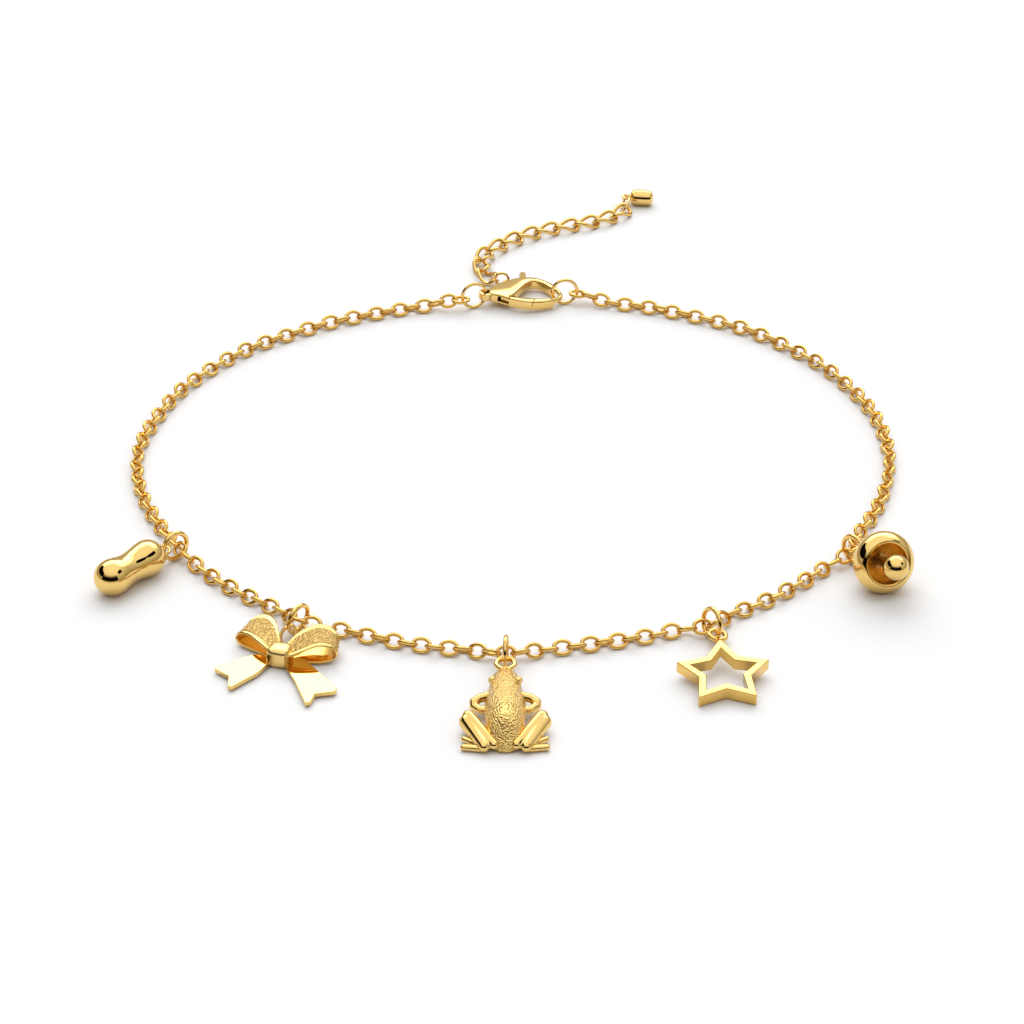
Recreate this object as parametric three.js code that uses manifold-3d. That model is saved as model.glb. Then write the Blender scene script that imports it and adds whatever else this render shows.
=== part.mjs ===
// Charm necklace: a fine cable chain in a loop, closed by a lobster clasp, with a curb-link extender that ends in a
// small cap, and five charms (peanut, bow, frog, open star, bell) on jump rings. It lies fastened on a flat surface.
// Millimetres, +Z up, +X to the wearer's left end of the clasp, +Y towards the clasp.
import * as THREE from 'three';
import { mergeVertices } from 'three/addons/utils/BufferGeometryUtils.js';
import Module from 'manifold-3d';

const wasm = await Module();
wasm.setup();

// ------------------------------------------------------------------------------------------- driving dimensions
const LOOP_CENTRE_Y = 16.05;        // centre of the laid loop, from the frame's working origin
const CHAIN_REST_Z = 1.06;          // height of the chain's thread where it lies flat
const CHAIN_HALF = 1.06;            // half the width of the cable chain's envelope, across its flats
const CHAIN_NECK = 0.58;            // half the width where two links meet, which is where a jump ring goes round it
const CHAIN_SIDES = 8;
const JUMP = { od: 5.5, wire: 0.8 };        // jump rings that carry the charms
const CLASP_RING = { od: 5.3, wire: 0.6 };  // rings at the two ends of the chain
const CURB = { a: 2.46, b: 1.46, twist: 0.65, wire: 0.5, pitch: 4.11, height: 0.91 }; // twisted links of the extender
const CLASP_T = { bottom: 0.3, top: 2.3 }; // the clasp's underside and top, in its own frame
const CLASP_SET = { x: 9, y: 74, z: 0.3, drop: 0.2, lift: 4.5 }; // its eye is propped up on the left ring

// Laid loop of chain: radius from the loop's centre at each bearing, and how far a jump ring lifts it there.
const LOOP = [
  { deg: 100.75, r: 56.9 }, { deg: 106.5, r: 57.7 }, { deg: 115.7, r: 58.4 }, { deg: 129.4, r: 60.1 },
  { deg: 142.0, r: 62.1 }, { deg: 155.0, r: 63.7 }, { deg: 169.0, r: 64.7 }, { deg: 179.0, r: 65.2 },
  { deg: 190.0, r: 64.6 }, { deg: 201.0, r: 63.5 }, { deg: 214.0, r: 62.9 }, { deg: 227.0, r: 61.9 },
  { deg: 240.0, r: 61.2 }, { deg: 254.0, r: 60.5 }, { deg: 268.0, r: 60.6 }, { deg: 281.0, r: 59.9 },
  { deg: 295.0, r: 60.4 }, { deg: 309.0, r: 61.4 }, { deg: 322.0, r: 62.6 }, { deg: 335.0, r: 63.4 },
  { deg: 349.0, r: 64.7 }, { deg: 362.0, r: 65.8 }, { deg: 377.0, r: 65.9 }, { deg: 393.0, r: 64.9 },
  { deg: 408.0, r: 63.2 }, { deg: 423.0, r: 60.7 }, { deg: 432.0, r: 59.7 }, { deg: 437.15, r: 59.95 },
];

// Jump rings: where each stands, which way it faces (its axis's turn from -Y towards +X), how far its axis tips up,
// and how far inside its middle the chain runs. Each ring pulls the chain out and lifts it to RING_LIFT.
const CHARM_RINGS = [
  { name: 'peanut_jump_ring', x: -56.2, y: -15.35, turn: 40, tip: 0, hold: 0.9 },
  { name: 'bow_jump_ring', x: -34.64, y: -37.42, turn: 51.7, tip: -6, hold: 0.9 },
  { name: 'frog_jump_ring', x: -1.0, y: -47.0, turn: 87, tip: 0, hold: 0.9 },
  { name: 'star_jump_ring', x: 32.29, y: -38.71, turn: 121.5, tip: -10, hold: 0.9 },
  { name: 'bell_jump_ring', x: 56.94, y: -16.42, turn: 131, tip: -1.5, hold: 0.9 },
];
const RING_LIFT = 1.85;

// ------------------------------------------------------------------------------------------- materials
const GOLD = { color: 0xe2b659, roughness: 0.22, metalness: 1.0 };
const gold = (name, tint = 0) => {
  const m = new THREE.MeshStandardMaterial(GOLD);
  m.name = name;
  m.color.offsetHSL(0, 0, tint);
  return m;
};

// ------------------------------------------------------------------------------------------- helpers
const V = (x, y, z) => new THREE.Vector3(x, y, z);
const rad = THREE.MathUtils.degToRad;

function solid(geometry) {
  const g = geometry.clone();
  g.deleteAttribute('normal');
  g.deleteAttribute('uv');
  const m = mergeVertices(g, 1e-4);
  return new wasm.Manifold(new wasm.Mesh({
    numProp: 3,
    vertProperties: new Float32Array(m.attributes.position.array),
    triVerts: new Uint32Array(m.index.array),
  }));
}

function geometryOf(manifold) {
  const m = manifold.getMesh();
  const g = new THREE.BufferGeometry();
  const p = new Float32Array((m.vertProperties.length / m.numProp) * 3);
  for (let i = 0; i < p.length / 3; i++) for (let k = 0; k < 3; k++) p[i * 3 + k] = m.vertProperties[i * m.numProp + k];
  g.setAttribute('position', new THREE.BufferAttribute(p, 3));
  g.setIndex(new THREE.BufferAttribute(new Uint32Array(m.triVerts), 1));
  g.computeVertexNormals();
  return g;
}

const join = (list) => list.map((g) => solid(g)).reduce((a, b) => a.add(b));
const cut = (manifold, list) => list.map((g) => solid(g)).reduce((a, b) => a.subtract(b), manifold);

// A loft through sections that each hold the same number of points: closed end to end, or capped with a fan.
function loft(sections, closed) {
  const n = sections[0].length, rows = sections.length, pos = [], idx = [];
  for (const s of sections) for (const p of s) pos.push(p.x, p.y, p.z);
  const last = closed ? rows : rows - 1;
  for (let i = 0; i < last; i++) {
    const a = i * n, b = ((i + 1) % rows) * n;
    for (let j = 0; j < n; j++) {
      const k = (j + 1) % n;
      idx.push(a + j, b + k, b + j, a + j, a + k, b + k);
    }
  }
  if (!closed) {
    for (let j = 1; j < n - 1; j++) {
      idx.push(0, j + 1, j);
      const a = (rows - 1) * n;
      idx.push(a, a + j, a + j + 1);
    }
  }
  let g = new THREE.BufferGeometry();
  g.setAttribute('position', new THREE.BufferAttribute(new Float32Array(pos), 3));
  g.setIndex(idx);
  if (volume(g) < 0) {
    const q = g.index.array;
    for (let i = 0; i < q.length; i += 3) [q[i + 1], q[i + 2]] = [q[i + 2], q[i + 1]];
  }
  return g;
}

function volume(g) {
  const p = g.attributes.position, q = g.index.array, a = V(), b = V(), c = V();
  let v = 0;
  for (let i = 0; i < q.length; i += 3) {
    a.fromBufferAttribute(p, q[i]); b.fromBufferAttribute(p, q[i + 1]); c.fromBufferAttribute(p, q[i + 2]);
    v += a.dot(b.clone().cross(c)) / 6;
  }
  return v;
}

// A round wire bent into a closed link: the wire's centre line is given by its points, and its section faces the
// link's middle.
function closedWire(points, wire, sides = 8) {
  const n = points.length, mid = points.reduce((a, p) => a.add(p), V()).divideScalar(n);
  const sections = points.map((p, i) => {
    const t = points[(i + 1) % n].clone().sub(points[(i + n - 1) % n]).normalize();
    const out = p.clone().sub(mid);
    out.sub(t.clone().multiplyScalar(out.dot(t))).normalize();
    const up = t.clone().cross(out);
    return Array.from({ length: sides }, (_, j) => {
      const a = ((j + 0.5) * 2 * Math.PI) / sides;
      return p.clone().addScaledVector(out, (wire / 2) * Math.cos(a)).addScaledVector(up, (wire / 2) * Math.sin(a));
    });
  });
  return loft(sections, true);
}

const ellipse = (a, b, n, lift = () => 0) =>
  Array.from({ length: n }, (_, i) => {
    const t = (i * 2 * Math.PI) / n;
    return V(a * Math.cos(t), b * Math.sin(t), lift(t));
  });

// A ring of round wire lying in its own XY plane.
const ringWire = (od, wire, steps = 20, sides = 6) => closedWire(ellipse((od - wire) / 2, (od - wire) / 2, steps), wire, sides);
// An oval link, long along X, in its own XY plane.
const ovalWire = (length, width, wire, steps = 16, sides = 6) =>
  closedWire(ellipse((length - wire) / 2, (width - wire) / 2, steps), wire, sides);

// The bails of the bow and bell are ovals of wire: size, middle, and how each faces and runs where it lies.
const BAILS = {
  bow: { length: 7.9, width: 2.9, wire: 0.62, x: -36.12, y: -41.2, z: 2, face: [-0.04, 0.12, 0.99], run: [0.06, 0.99, -0.12] },
  bell: { length: 4.3, width: 3.4, wire: 0.6, x: 58.9, y: -18.75, z: 2.35, face: [-0.42, -0.38, 0.82], run: [0.67, -0.73, 0.1] },
};
// The star hangs from a round eyelet, and a short neck joins the eyelet to the star's far tip.
const EYELET = { od: 3.6, wire: 0.86, neck: 3.4, rise: 0.9, root: 0.6, x: 33.14, y: -40.51, z: 1.61, face: [0.145, 0, 0.989], run: [0, 1, 0] };
// A bail placed where its jump ring passes through it, brought into its charm's own frame.
function hung(geometry, row, charm) {
  const at = pose(new THREE.Object3D(), V(row.x, row.y, row.z), V(...row.face), V(...row.run));
  at.updateMatrix();
  charm.updateMatrix();
  return geometry.applyMatrix4(charm.matrix.clone().invert().multiply(at.matrix));
}
const hungBail = (row, charm) => hung(ovalWire(row.length, row.width, row.wire, 18, 8), row, charm);

// A solid turned about its own X axis, from rows of distance along it and radius; both ends close on the axis.
function turned(rows, sides = 16) {
  const g = new THREE.LatheGeometry(rows.map((r) => new THREE.Vector2(r.r, r.s)), sides);
  g.rotateZ(-Math.PI / 2);
  return g;
}

// A limb between two points that tapers from one radius to the other, with round ends.
function limb(p, q, rp, rq, sides = 10) {
  const t = q.clone().sub(p).normalize();
  const side = t.clone().cross(Math.abs(t.z) > 0.9 ? V(1, 0, 0) : V(0, 0, 1)).normalize();
  const up = side.clone().cross(t);
  const rows = [];
  for (const a of [90, 45, 0]) rows.push({ c: p.clone().addScaledVector(t, -rp * Math.sin(rad(a))), r: Math.max(rp * Math.cos(rad(a)), 0.02) });
  for (const a of [0, 45, 90]) rows.push({ c: q.clone().addScaledVector(t, rq * Math.sin(rad(a))), r: Math.max(rq * Math.cos(rad(a)), 0.02) });
  return loft(rows.map(({ c, r }) => Array.from({ length: sides }, (_, j) => {
    const a = (j * 2 * Math.PI) / sides;
    return c.clone().addScaledVector(side, r * Math.cos(a)).addScaledVector(up, r * Math.sin(a));
  })), false);
}

// A flat plate from an outline in XY.
function plate(outline, z0, z1, holes = [], bevel = 0) {
  const points = outline.map(([x, y]) => new THREE.Vector2(x, y));
  if (THREE.ShapeUtils.area(points) < 0) points.reverse();
  const s = new THREE.Shape(points);
  for (const h of holes) s.holes.push(new THREE.Path(h.map(([x, y]) => new THREE.Vector2(x, y))));
  const g = new THREE.ExtrudeGeometry(s, {
    depth: z1 - z0 - 2 * bevel, bevelEnabled: bevel > 0, bevelThickness: bevel, bevelSize: bevel, bevelOffset: -bevel, bevelSegments: 1, steps: 1,
  });
  g.translate(0, 0, z0 + bevel);
  return g;
}

const circleXY = (cx, cy, r, n) => Array.from({ length: n }, (_, i) => {
  const a = (i * 2 * Math.PI) / n;
  return [cx + r * Math.cos(a), cy + r * Math.sin(a)];
});

const root = new THREE.Group();
const laid = new THREE.Group();
root.add(laid);

function add(name, geometry, tint = 0) {
  const mesh = new THREE.Mesh(geometry, gold(name, tint));
  mesh.name = name;
  laid.add(mesh);
  return mesh;
}

// Turns a mesh so that its own Z points along `normal` and its own X along `along`, and puts its origin at `at`.
function pose(mesh, at, normal, along) {
  const z = normal.clone().normalize();
  const x = along.clone().sub(z.clone().multiplyScalar(along.dot(z))).normalize();
  const y = z.clone().cross(x);
  mesh.quaternion.setFromRotationMatrix(new THREE.Matrix4().makeBasis(x, y, z));
  mesh.position.copy(at);
  return mesh;
}

// ------------------------------------------------------------------------------------------- the laid loop
const loopCurve = new THREE.CatmullRomCurve3(
  LOOP.map(({ deg, r }) => V(r * Math.cos(rad(deg)), LOOP_CENTRE_Y + r * Math.sin(rad(deg)), 0)), false, 'centripetal');
const LOOP_LENGTH = loopCurve.getLength();
const N_FINE = 2400;
const fine = Array.from({ length: N_FINE + 1 }, (_, i) => loopCurve.getPointAt(i / N_FINE));

// Each charm ring crosses the loop at a distance along it, and holds the chain that far aside of its plain route.
const crossings = CHARM_RINGS.map(({ x, y, turn, hold }) => {
  const n = V(Math.sin(rad(turn)), -Math.cos(rad(turn)), 0);
  const out = V(x, y - LOOP_CENTRE_Y, 0).normalize();
  const d = out.clone().addScaledVector(n, -out.dot(n)).normalize();
  const held = V(x, y, 0).addScaledVector(d, -hold);
  let best = 0, gap = 1e9;
  fine.forEach((p, i) => { const q = p.distanceTo(held); if (q < gap) { gap = q; best = i; } });
  return { s: (best / N_FINE) * LOOP_LENGTH, shift: held.sub(fine[best]), n, d };
});
const ease = (x) => { const t = THREE.MathUtils.clamp(x, 0, 1); return t * t * (3 - 2 * t); };
const END_LIFT = [{ z: 2.1, over: 7 }, { z: 1.9, over: 6 }];

// The chain's thread and half its width at a distance along it.
function chainAt(s) {
  const p = loopCurve.getPointAt(THREE.MathUtils.clamp(s / LOOP_LENGTH, 0, 1));
  let z = CHAIN_REST_Z, near = 1e9;
  for (const c of crossings) {
    const w = 1 - ease((Math.abs(c.s - s) - 0.5) / 5.5);
    p.addScaledVector(c.shift, w);
    z += (RING_LIFT - CHAIN_REST_Z) * w;
    near = Math.min(near, Math.abs(c.s - s));
  }
  z += (END_LIFT[0].z - CHAIN_REST_Z) * (1 - ease(s / END_LIFT[0].over)) + (END_LIFT[1].z - CHAIN_REST_Z) * (1 - ease((LOOP_LENGTH - s) / END_LIFT[1].over));
  p.z = z;
  const end = Math.min(s, LOOP_LENGTH - s);
  const half = CHAIN_NECK + (CHAIN_HALF - CHAIN_NECK) * ease((near - 0.55) / 0.9);
  return { p, half: Math.min(half, end < 1.2 ? 0.5 + 0.4 * end : 9) };
}
const chainTangent = (s) => chainAt(Math.min(s + 0.2, LOOP_LENGTH)).p.sub(chainAt(Math.max(s - 0.2, 0)).p).normalize();

function chain() {
  // Stations every two widths or so, and closer beside each jump ring.
  const stations = new Set();
  const even = 60;
  for (let i = 0; i <= even; i++) {
    const s = (i / even) * LOOP_LENGTH;
    if (!crossings.some((c) => Math.abs(c.s - s) < 3.4)) stations.add(s);
  }
  for (const c of crossings) for (const d of [-3.4, -1.5, -0.55, 0.55, 1.5, 3.4]) stations.add(c.s + d);
  stations.add(1.2); stations.add(LOOP_LENGTH - 1.2);
  const rows = [...stations].sort((a, b) => a - b);
  const sections = rows.map((s) => {
    const { p, half } = chainAt(s), t = chainTangent(s);
    const side = V(-t.y, t.x, 0).normalize(), up = t.clone().cross(side);
    const corner = half / Math.cos(Math.PI / CHAIN_SIDES);
    return Array.from({ length: CHAIN_SIDES }, (_, j) => {
      const a = ((j + 0.5) * 2 * Math.PI) / CHAIN_SIDES;
      return p.clone().addScaledVector(side, corner * Math.cos(a)).addScaledVector(up, corner * Math.sin(a));
    });
  });
  const tube = loft(sections, false);
  // The last link at each end stands out of the tube as an open link, which the clasp's ring goes through.
  const ends = [0, LOOP_LENGTH].map((s) => {
    const { p } = chainAt(s), t = chainTangent(s).multiplyScalar(s ? 1 : -1);
    t.z *= 0.3;
    t.normalize();
    const g = ovalWire(3.3, 2.7, 0.5);
    const holder = new THREE.Object3D();
    pose(holder, p.clone().addScaledVector(t, 1.05), V(0, 0, 1).addScaledVector(t, -t.z), t);
    holder.updateMatrix();
    return g.applyMatrix4(holder.matrix);
  });
  return geometryOf(join([tube, ...ends]));
}
add('chain', chain());

// ------------------------------------------------------------------------------------------- jump rings for charms
CHARM_RINGS.forEach(({ name, x, y, turn, tip }, i) => {
  const { n, d } = crossings[i];
  const normal = n.clone().multiplyScalar(Math.cos(rad(tip))).add(V(0, 0, Math.sin(rad(tip))));
  const reach = (JUMP.od - JUMP.wire) / 2;
  pose(add(name, ringWire(JUMP.od, JUMP.wire), 0.03), V(x, y, reach * Math.cos(rad(tip)) + JUMP.wire / 2 + 0.02), normal, d);
});

// ------------------------------------------------------------------------------------------- peanut
// Rows along the peanut's axis: distance and radius. It lies on its side on its two lobes.
const PEANUT = [
  { s: -7.06, r: 0 }, { s: -6.82, r: 1.24 }, { s: -6.15, r: 2.2 }, { s: -5.15, r: 2.86 }, { s: -3.97, r: 3.09 }, { s: -2.9, r: 2.99 },
  { s: -1.5, r: 2.71 }, { s: -0.2, r: 2.58 }, { s: 1.2, r: 2.7 }, { s: 2.75, r: 2.98 }, { s: 3.97, r: 3.08 }, { s: 5.15, r: 2.85 },
  { s: 6.15, r: 2.19 }, { s: 6.81, r: 1.23 }, { s: 7.05, r: 0 },
];
{
  const body = turned(PEANUT, 18);
  const bail = ringWire(2.7, 0.5, 14, 6);
  bail.translate(7.62, 0, -0.3);
  const m = add('peanut_charm', geometryOf(join([body, bail])), -0.01);
  const far = V(-65.76, -25.48, 3.11), near = V(-60.49, -19.54, 3.1);
  const axis = near.clone().sub(far).normalize();
  pose(m, far.clone().add(near).multiplyScalar(0.5), V(0, 0, 1), axis);
}

// ------------------------------------------------------------------------------------------- bow
// Each ribbon loop, out over the top, round its end and back underneath: a row for each fold across the ribbon, from
// its front edge (fx, fy, fz) to its back edge (bx, by, bz).
const BOW_RIGHT = [
  { fx: 0.6, fy: -0.9, fz: 2.3, bx: 0.7, by: 2.4, bz: 2.6 }, { fx: 2.3, fy: -0.9, fz: 2.8, bx: 1.3, by: 4.6, bz: 3.1 },
  { fx: 4.0, fy: 0.1, fz: 3.3, bx: 2.7, by: 6.6, bz: 3.6 }, { fx: 6.0, fy: 1.6, fz: 3.7, bx: 4.4, by: 7.8, bz: 3.8 },
  { fx: 7.6, fy: 2.3, fz: 3.5, bx: 6.2, by: 7.8, bz: 3.6 }, { fx: 8.8, fy: 2.7, fz: 2.7, bx: 7.7, by: 7.2, bz: 2.8 },
  { fx: 9.1, fy: 2.7, fz: 1.6, bx: 8.1, by: 6.9, bz: 1.6 }, { fx: 8.4, fy: 2.3, fz: 0.75, bx: 7.4, by: 6.8, bz: 0.7 },
  { fx: 6.8, fy: 1.5, fz: 0.4, bx: 5.8, by: 6.6, bz: 0.3 }, { fx: 4.6, fy: 0.9, fz: 0.35, bx: 3.4, by: 5.2, bz: 0.3 },
  { fx: 0.6, fy: -0.2, fz: 0.5, bx: 0.7, by: 2.4, bz: 0.4 },
];
const BOW_LEFT = [
  { fx: -0.6, fy: -0.4, fz: 2.3, bx: -0.5, by: 2.6, bz: 2.6 }, { fx: -2.4, fy: 0.2, fz: 2.8, bx: -1.5, by: 4.8, bz: 3.1 },
  { fx: -4.2, fy: 1.4, fz: 3.0, bx: -2.9, by: 7.4, bz: 3.3 }, { fx: -6.0, fy: 2.8, fz: 2.9, bx: -4.6, by: 8.8, bz: 3.3 },
  { fx: -7.6, fy: 3.4, fz: 2.6, bx: -6.2, by: 8.6, bz: 3.1 }, { fx: -8.5, fy: 3.6, fz: 1.9, bx: -7.4, by: 7.4, bz: 2.4 },
  { fx: -8.6, fy: 3.4, fz: 1.2, bx: -7.7, by: 7.0, bz: 1.4 }, { fx: -7.9, fy: 2.9, fz: 0.6, bx: -7.0, by: 6.8, bz: 0.6 },
  { fx: -6.2, fy: 2.3, fz: 0.35, bx: -5.2, by: 6.4, bz: 0.3 }, { fx: -4.2, fy: 1.6, fz: 0.35, bx: -3.0, by: 5.0, bz: 0.3 },
  { fx: -0.6, fy: 0.3, fz: 0.5, bx: -0.5, by: 2.6, bz: 0.4 },
];
const BOW = { ribbon: 0.42, knotW: 2.6, knotL: 3.5, knotH: 3.4, tail: 0.75 };
const BOW_TAILS = [
  [[-1.0, -0.9], [-1.6, 0.9], [-4.4, 0.2], [-9.0, -4.6], [-8.9, -5.4], [-6.1, -6.7], [-5.3, -9.3], [-4.6, -9.5], [-2.0, -4.6]],
  [[1.0, -0.9], [2.1, 1.2], [4.5, 0.9], [11.6, -5.3], [11.5, -6.2], [8.7, -7.7], [8.7, -10.0], [8.0, -10.5], [4.4, -5.0]],
];
function ribbonLoop(rows) {
  // The rows give the ribbon's outer side; its inner side is one thickness in, square to the fold and the travel.
  const mid = rows.reduce((a, r) => a.add(V(r.fx + r.bx, r.fy + r.by, r.fz + r.bz)), V()).divideScalar(2 * rows.length);
  return loft(rows.map((r, i) => {
    const f = V(r.fx, r.fy, r.fz), b = V(r.bx, r.by, r.bz);
    const p = rows[Math.max(i - 1, 0)], q = rows[Math.min(i + 1, rows.length - 1)];
    const go = V(q.fx + q.bx - p.fx - p.bx, q.fy + q.by - p.fy - p.by, q.fz + q.bz - p.fz - p.bz);
    const inward = go.cross(b.clone().sub(f)).normalize();
    if (inward.dot(mid.clone().sub(f.clone().add(b).multiplyScalar(0.5))) < 0) inward.negate();
    return [f, b, b.clone().addScaledVector(inward, BOW.ribbon), f.clone().addScaledVector(inward, BOW.ribbon)];
  }), false);
}
{
  const left = ribbonLoop(BOW_LEFT), right = ribbonLoop(BOW_RIGHT);
  const k = [[-BOW.knotL / 2, 0.45], [-BOW.knotL / 2 + 0.45, 0.03], [BOW.knotL / 2 - 0.45, 0.03], [BOW.knotL / 2, 0.45],
    [BOW.knotL / 2, BOW.knotH - 1.0], [BOW.knotL / 2 - 0.9, BOW.knotH - 0.15], [0, BOW.knotH], [-BOW.knotL / 2 + 0.9, BOW.knotH - 0.15], [-BOW.knotL / 2, BOW.knotH - 1.0]];
  const knot = plate(k, -BOW.knotW / 2, BOW.knotW / 2);
  knot.rotateX(Math.PI / 2);
  knot.rotateZ(Math.PI / 2);
  knot.translate(0.1, 0.3, 0);
  const tails = BOW_TAILS.map((t) => plate(t, 0.3, 0.3 + BOW.tail));
  const m = new THREE.Object3D();
  m.rotation.z = rad(-16);
  m.position.set(-37.36, -46.68, 0.02);
  const bail = hungBail(BAILS.bow, m);
  const charm = add('bow_charm', geometryOf(join([left, right, knot, ...tails, bail])), 0.01);
  charm.rotation.copy(m.rotation);
  charm.position.copy(m.position);
}

// ------------------------------------------------------------------------------------------- frog
// Rows from the frog's tail to its snout: distance, half width, height of its back, and height of its belly.
const FROG = [
  { y: 1.2, w: 0.7, h: 0.8, b: 0.3 }, { y: 1.7, w: 1.3, h: 1.45, b: 0.15 }, { y: 2.4, w: 1.75, h: 2.2, b: 0.1 }, { y: 3.3, w: 2.15, h: 3.1, b: 0 },
  { y: 4.4, w: 2.6, h: 4.05, b: 0 }, { y: 5.6, w: 2.92, h: 4.75, b: 0 }, { y: 6.8, w: 3.12, h: 5.05, b: 0 }, { y: 8.2, w: 3.25, h: 5, b: 0 },
  { y: 9.8, w: 3.3, h: 4.7, b: 0 }, { y: 11.2, w: 3.22, h: 4.3, b: 0 }, { y: 13, w: 2.95, h: 3.85, b: 0 }, { y: 15, w: 2.68, h: 3.45, b: 0 },
  { y: 16.6, w: 2.5, h: 3.05, b: 0 }, { y: 18, w: 2.3, h: 2.6, b: 0 }, { y: 19.3, w: 1.98, h: 2.05, b: 0 }, { y: 20.3, w: 1.55, h: 1.6, b: 0.05 },
  { y: 21, w: 1.1, h: 1.3, b: 0.2 }, { y: 21.9, w: 0.6, h: 1.15, b: 0.35 },
];
// Limbs on the frog's right side, mirrored to its left: ends, and the radius at each.
const FROG_LIMBS = [
  { x0: 2.4, y0: 1.6, z0: 1.05, r0: 1, x1: 5.45, y1: 7.4, z1: 1.9, r1: 1.3 }, // thigh
  { x0: 5.85, y0: 7, z0: 1.6, r0: 1.42, x1: 3.3, y1: 1.75, z1: 0.95, r1: 0.95 }, // shin
  { x0: 3.6, y0: 1.6, z0: 0.6, r0: 0.58, x1: 6.5, y1: 2, z1: 0.56, r1: 0.52 }, // foot, outer toe
  { x0: 4.1, y0: 2.6, z0: 0.6, r0: 0.56, x1: 6.4, y1: 4, z1: 0.54, r1: 0.5 }, // foot, inner toe
  { x0: 2.6, y0: 13.2, z0: 1.8, r0: 0.8, x1: 4.7, y1: 12.6, z1: 1.2, r1: 0.85 }, // upper arm
  { x0: 4.75, y0: 11.85, z0: 0.85, r0: 0.85, x1: 2.9, y1: 10.7, z1: 0.9, r1: 0.7 }, // forearm
];
const FROG_TILT = 4;
{
  // Each section is an oval, cut off level with the belly.
  const n = 16;
  const sections = FROG.map(({ y, w, h, b }) => Array.from({ length: n }, (_, j) => {
    const a = rad(-40) + (j / (n - 1)) * rad(260);
    return V(w * Math.cos(a), y, Math.max(b + (h - b) * (0.43 + 0.57 * Math.sin(a)), b));
  }));
  const parts = [loft(sections, false)];
  for (const L of FROG_LIMBS) for (const side of [1, -1]) {
    parts.push(limb(V(side * L.x0, L.y0, L.z0), V(side * L.x1, L.y1, L.z1), L.r0, L.r1, 8));
  }
  for (const side of [1, -1]) parts.push(limb(V(side * 2.0, 16.4, 2.3), V(side * 2.1, 16.5, 2.4), 0.64, 0.64, 8)); // eyes
  const bail = ringWire(3.7, 0.85, 18, 8);
  bail.translate(0, 23.1, 0.75);
  parts.push(bail);
  // The belly is ground flat.
  let body = join(parts);
  body = body.trimByPlane([0, 0, 1], 0);
  const m = add('frog_charm', geometryOf(body), -0.005);
  m.rotation.x = rad(FROG_TILT);
  m.position.set(-1.05, -72.5, -0.08);
}

// ------------------------------------------------------------------------------------------- open star
const STAR = { tip: 7.87, notch: 4.4, holeTip: 5.63, holeNotch: 3.08, thick: 2.1, tilt: 6.6, yaw: 2.9, round: 0.18 };
{
  const star = (R, r) => Array.from({ length: 10 }, (_, i) => {
    const a = rad(90 - 36 * i), q = i % 2 ? r : R;
    return [q * Math.cos(a), q * Math.sin(a)];
  });
  const frame = plate(star(STAR.tip, STAR.notch), -STAR.thick, 0, [star(STAR.holeTip, STAR.holeNotch)]);
  // Oval bail soldered behind the upper tip, dipping away from it to the jump ring.
  const m = new THREE.Object3D();
  m.rotation.order = 'ZXY';
  m.rotation.set(rad(STAR.tilt), 0, rad(STAR.yaw));
  // Its two lower tips rest on the surface.
  const low = -STAR.tip * Math.cos(rad(36)) * Math.sin(rad(STAR.tilt)) - STAR.thick * Math.cos(rad(STAR.tilt));
  m.position.set(33.67, -52.5, 0.02 - low);
  const neck = limb(V(-1.3, 0, 0), V(-1.3 - EYELET.neck, 0, EYELET.rise), EYELET.wire / 2, EYELET.root, 8);
  const eyelet = hung(geometryOf(join([ringWire(EYELET.od, EYELET.wire, 20, 8), neck])), EYELET, m);
  const charm = add('star_charm', geometryOf(join([frame, eyelet])), 0.02);
  charm.rotation.copy(m.rotation);
  charm.position.copy(m.position);
}

// ------------------------------------------------------------------------------------------- bell
// Outer profile, lip and hollow along the bell's axis, from the closed back to the mouth and in again: distance from
// its widest section, and radius.
const BELL = [
  { s: -4.51, r: 0 }, { s: -4.31, r: 1.38 }, { s: -3.63, r: 2.86 }, { s: -2.45, r: 4.14 }, { s: -1.18, r: 4.92 }, { s: 0, r: 5.2 }, { s: 0.98, r: 5.04 },
  { s: 1.76, r: 4.58 }, { s: 2.21, r: 4.14 }, { s: 2.35, r: 3.79 }, { s: 2.16, r: 3.45 },
  { s: 0.59, r: 3.69 }, { s: -0.98, r: 3.35 }, { s: -2.25, r: 2.46 }, { s: -3.04, r: 1.18 }, { s: -3.14, r: 0 },
];
// The clapper: a stem from the back of the hollow, and the ball on its end.
const CLAPPER = { from: -3.8, stem: 0.75, ball: 2.15, centre: 5.85 };
const BELL_POSE = { x: 61.17, y: -23.84, z: 5.0, turn: 16, tip: 22.4 };
{
  const body = turned(BELL, 26);
  const ballRows = [-70, -50, -30, -10, 10, 30, 50, 70].map((a) => ({ s: CLAPPER.centre + CLAPPER.ball * Math.sin(rad(a)), r: CLAPPER.ball * Math.cos(rad(a)) }));
  const clapper = turned([{ s: CLAPPER.from, r: 0 }, { s: CLAPPER.from, r: CLAPPER.stem }, ...ballRows, { s: CLAPPER.centre + CLAPPER.ball, r: 0 }], 14);
  const t = rad(BELL_POSE.turn), l = rad(BELL_POSE.tip);
  const set = (o) => pose(o, V(BELL_POSE.x, BELL_POSE.y, BELL_POSE.z), V(-Math.sin(t) * Math.sin(l), Math.cos(t) * Math.sin(l), Math.cos(l)), V(Math.sin(t) * Math.cos(l), -Math.cos(t) * Math.cos(l), Math.sin(l)));
  const bell = set(new THREE.Object3D());
  const bail = hungBail(BAILS.bell, bell);
  set(add('bell_charm', geometryOf(join([body, clapper, bail])), 0));
}

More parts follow.
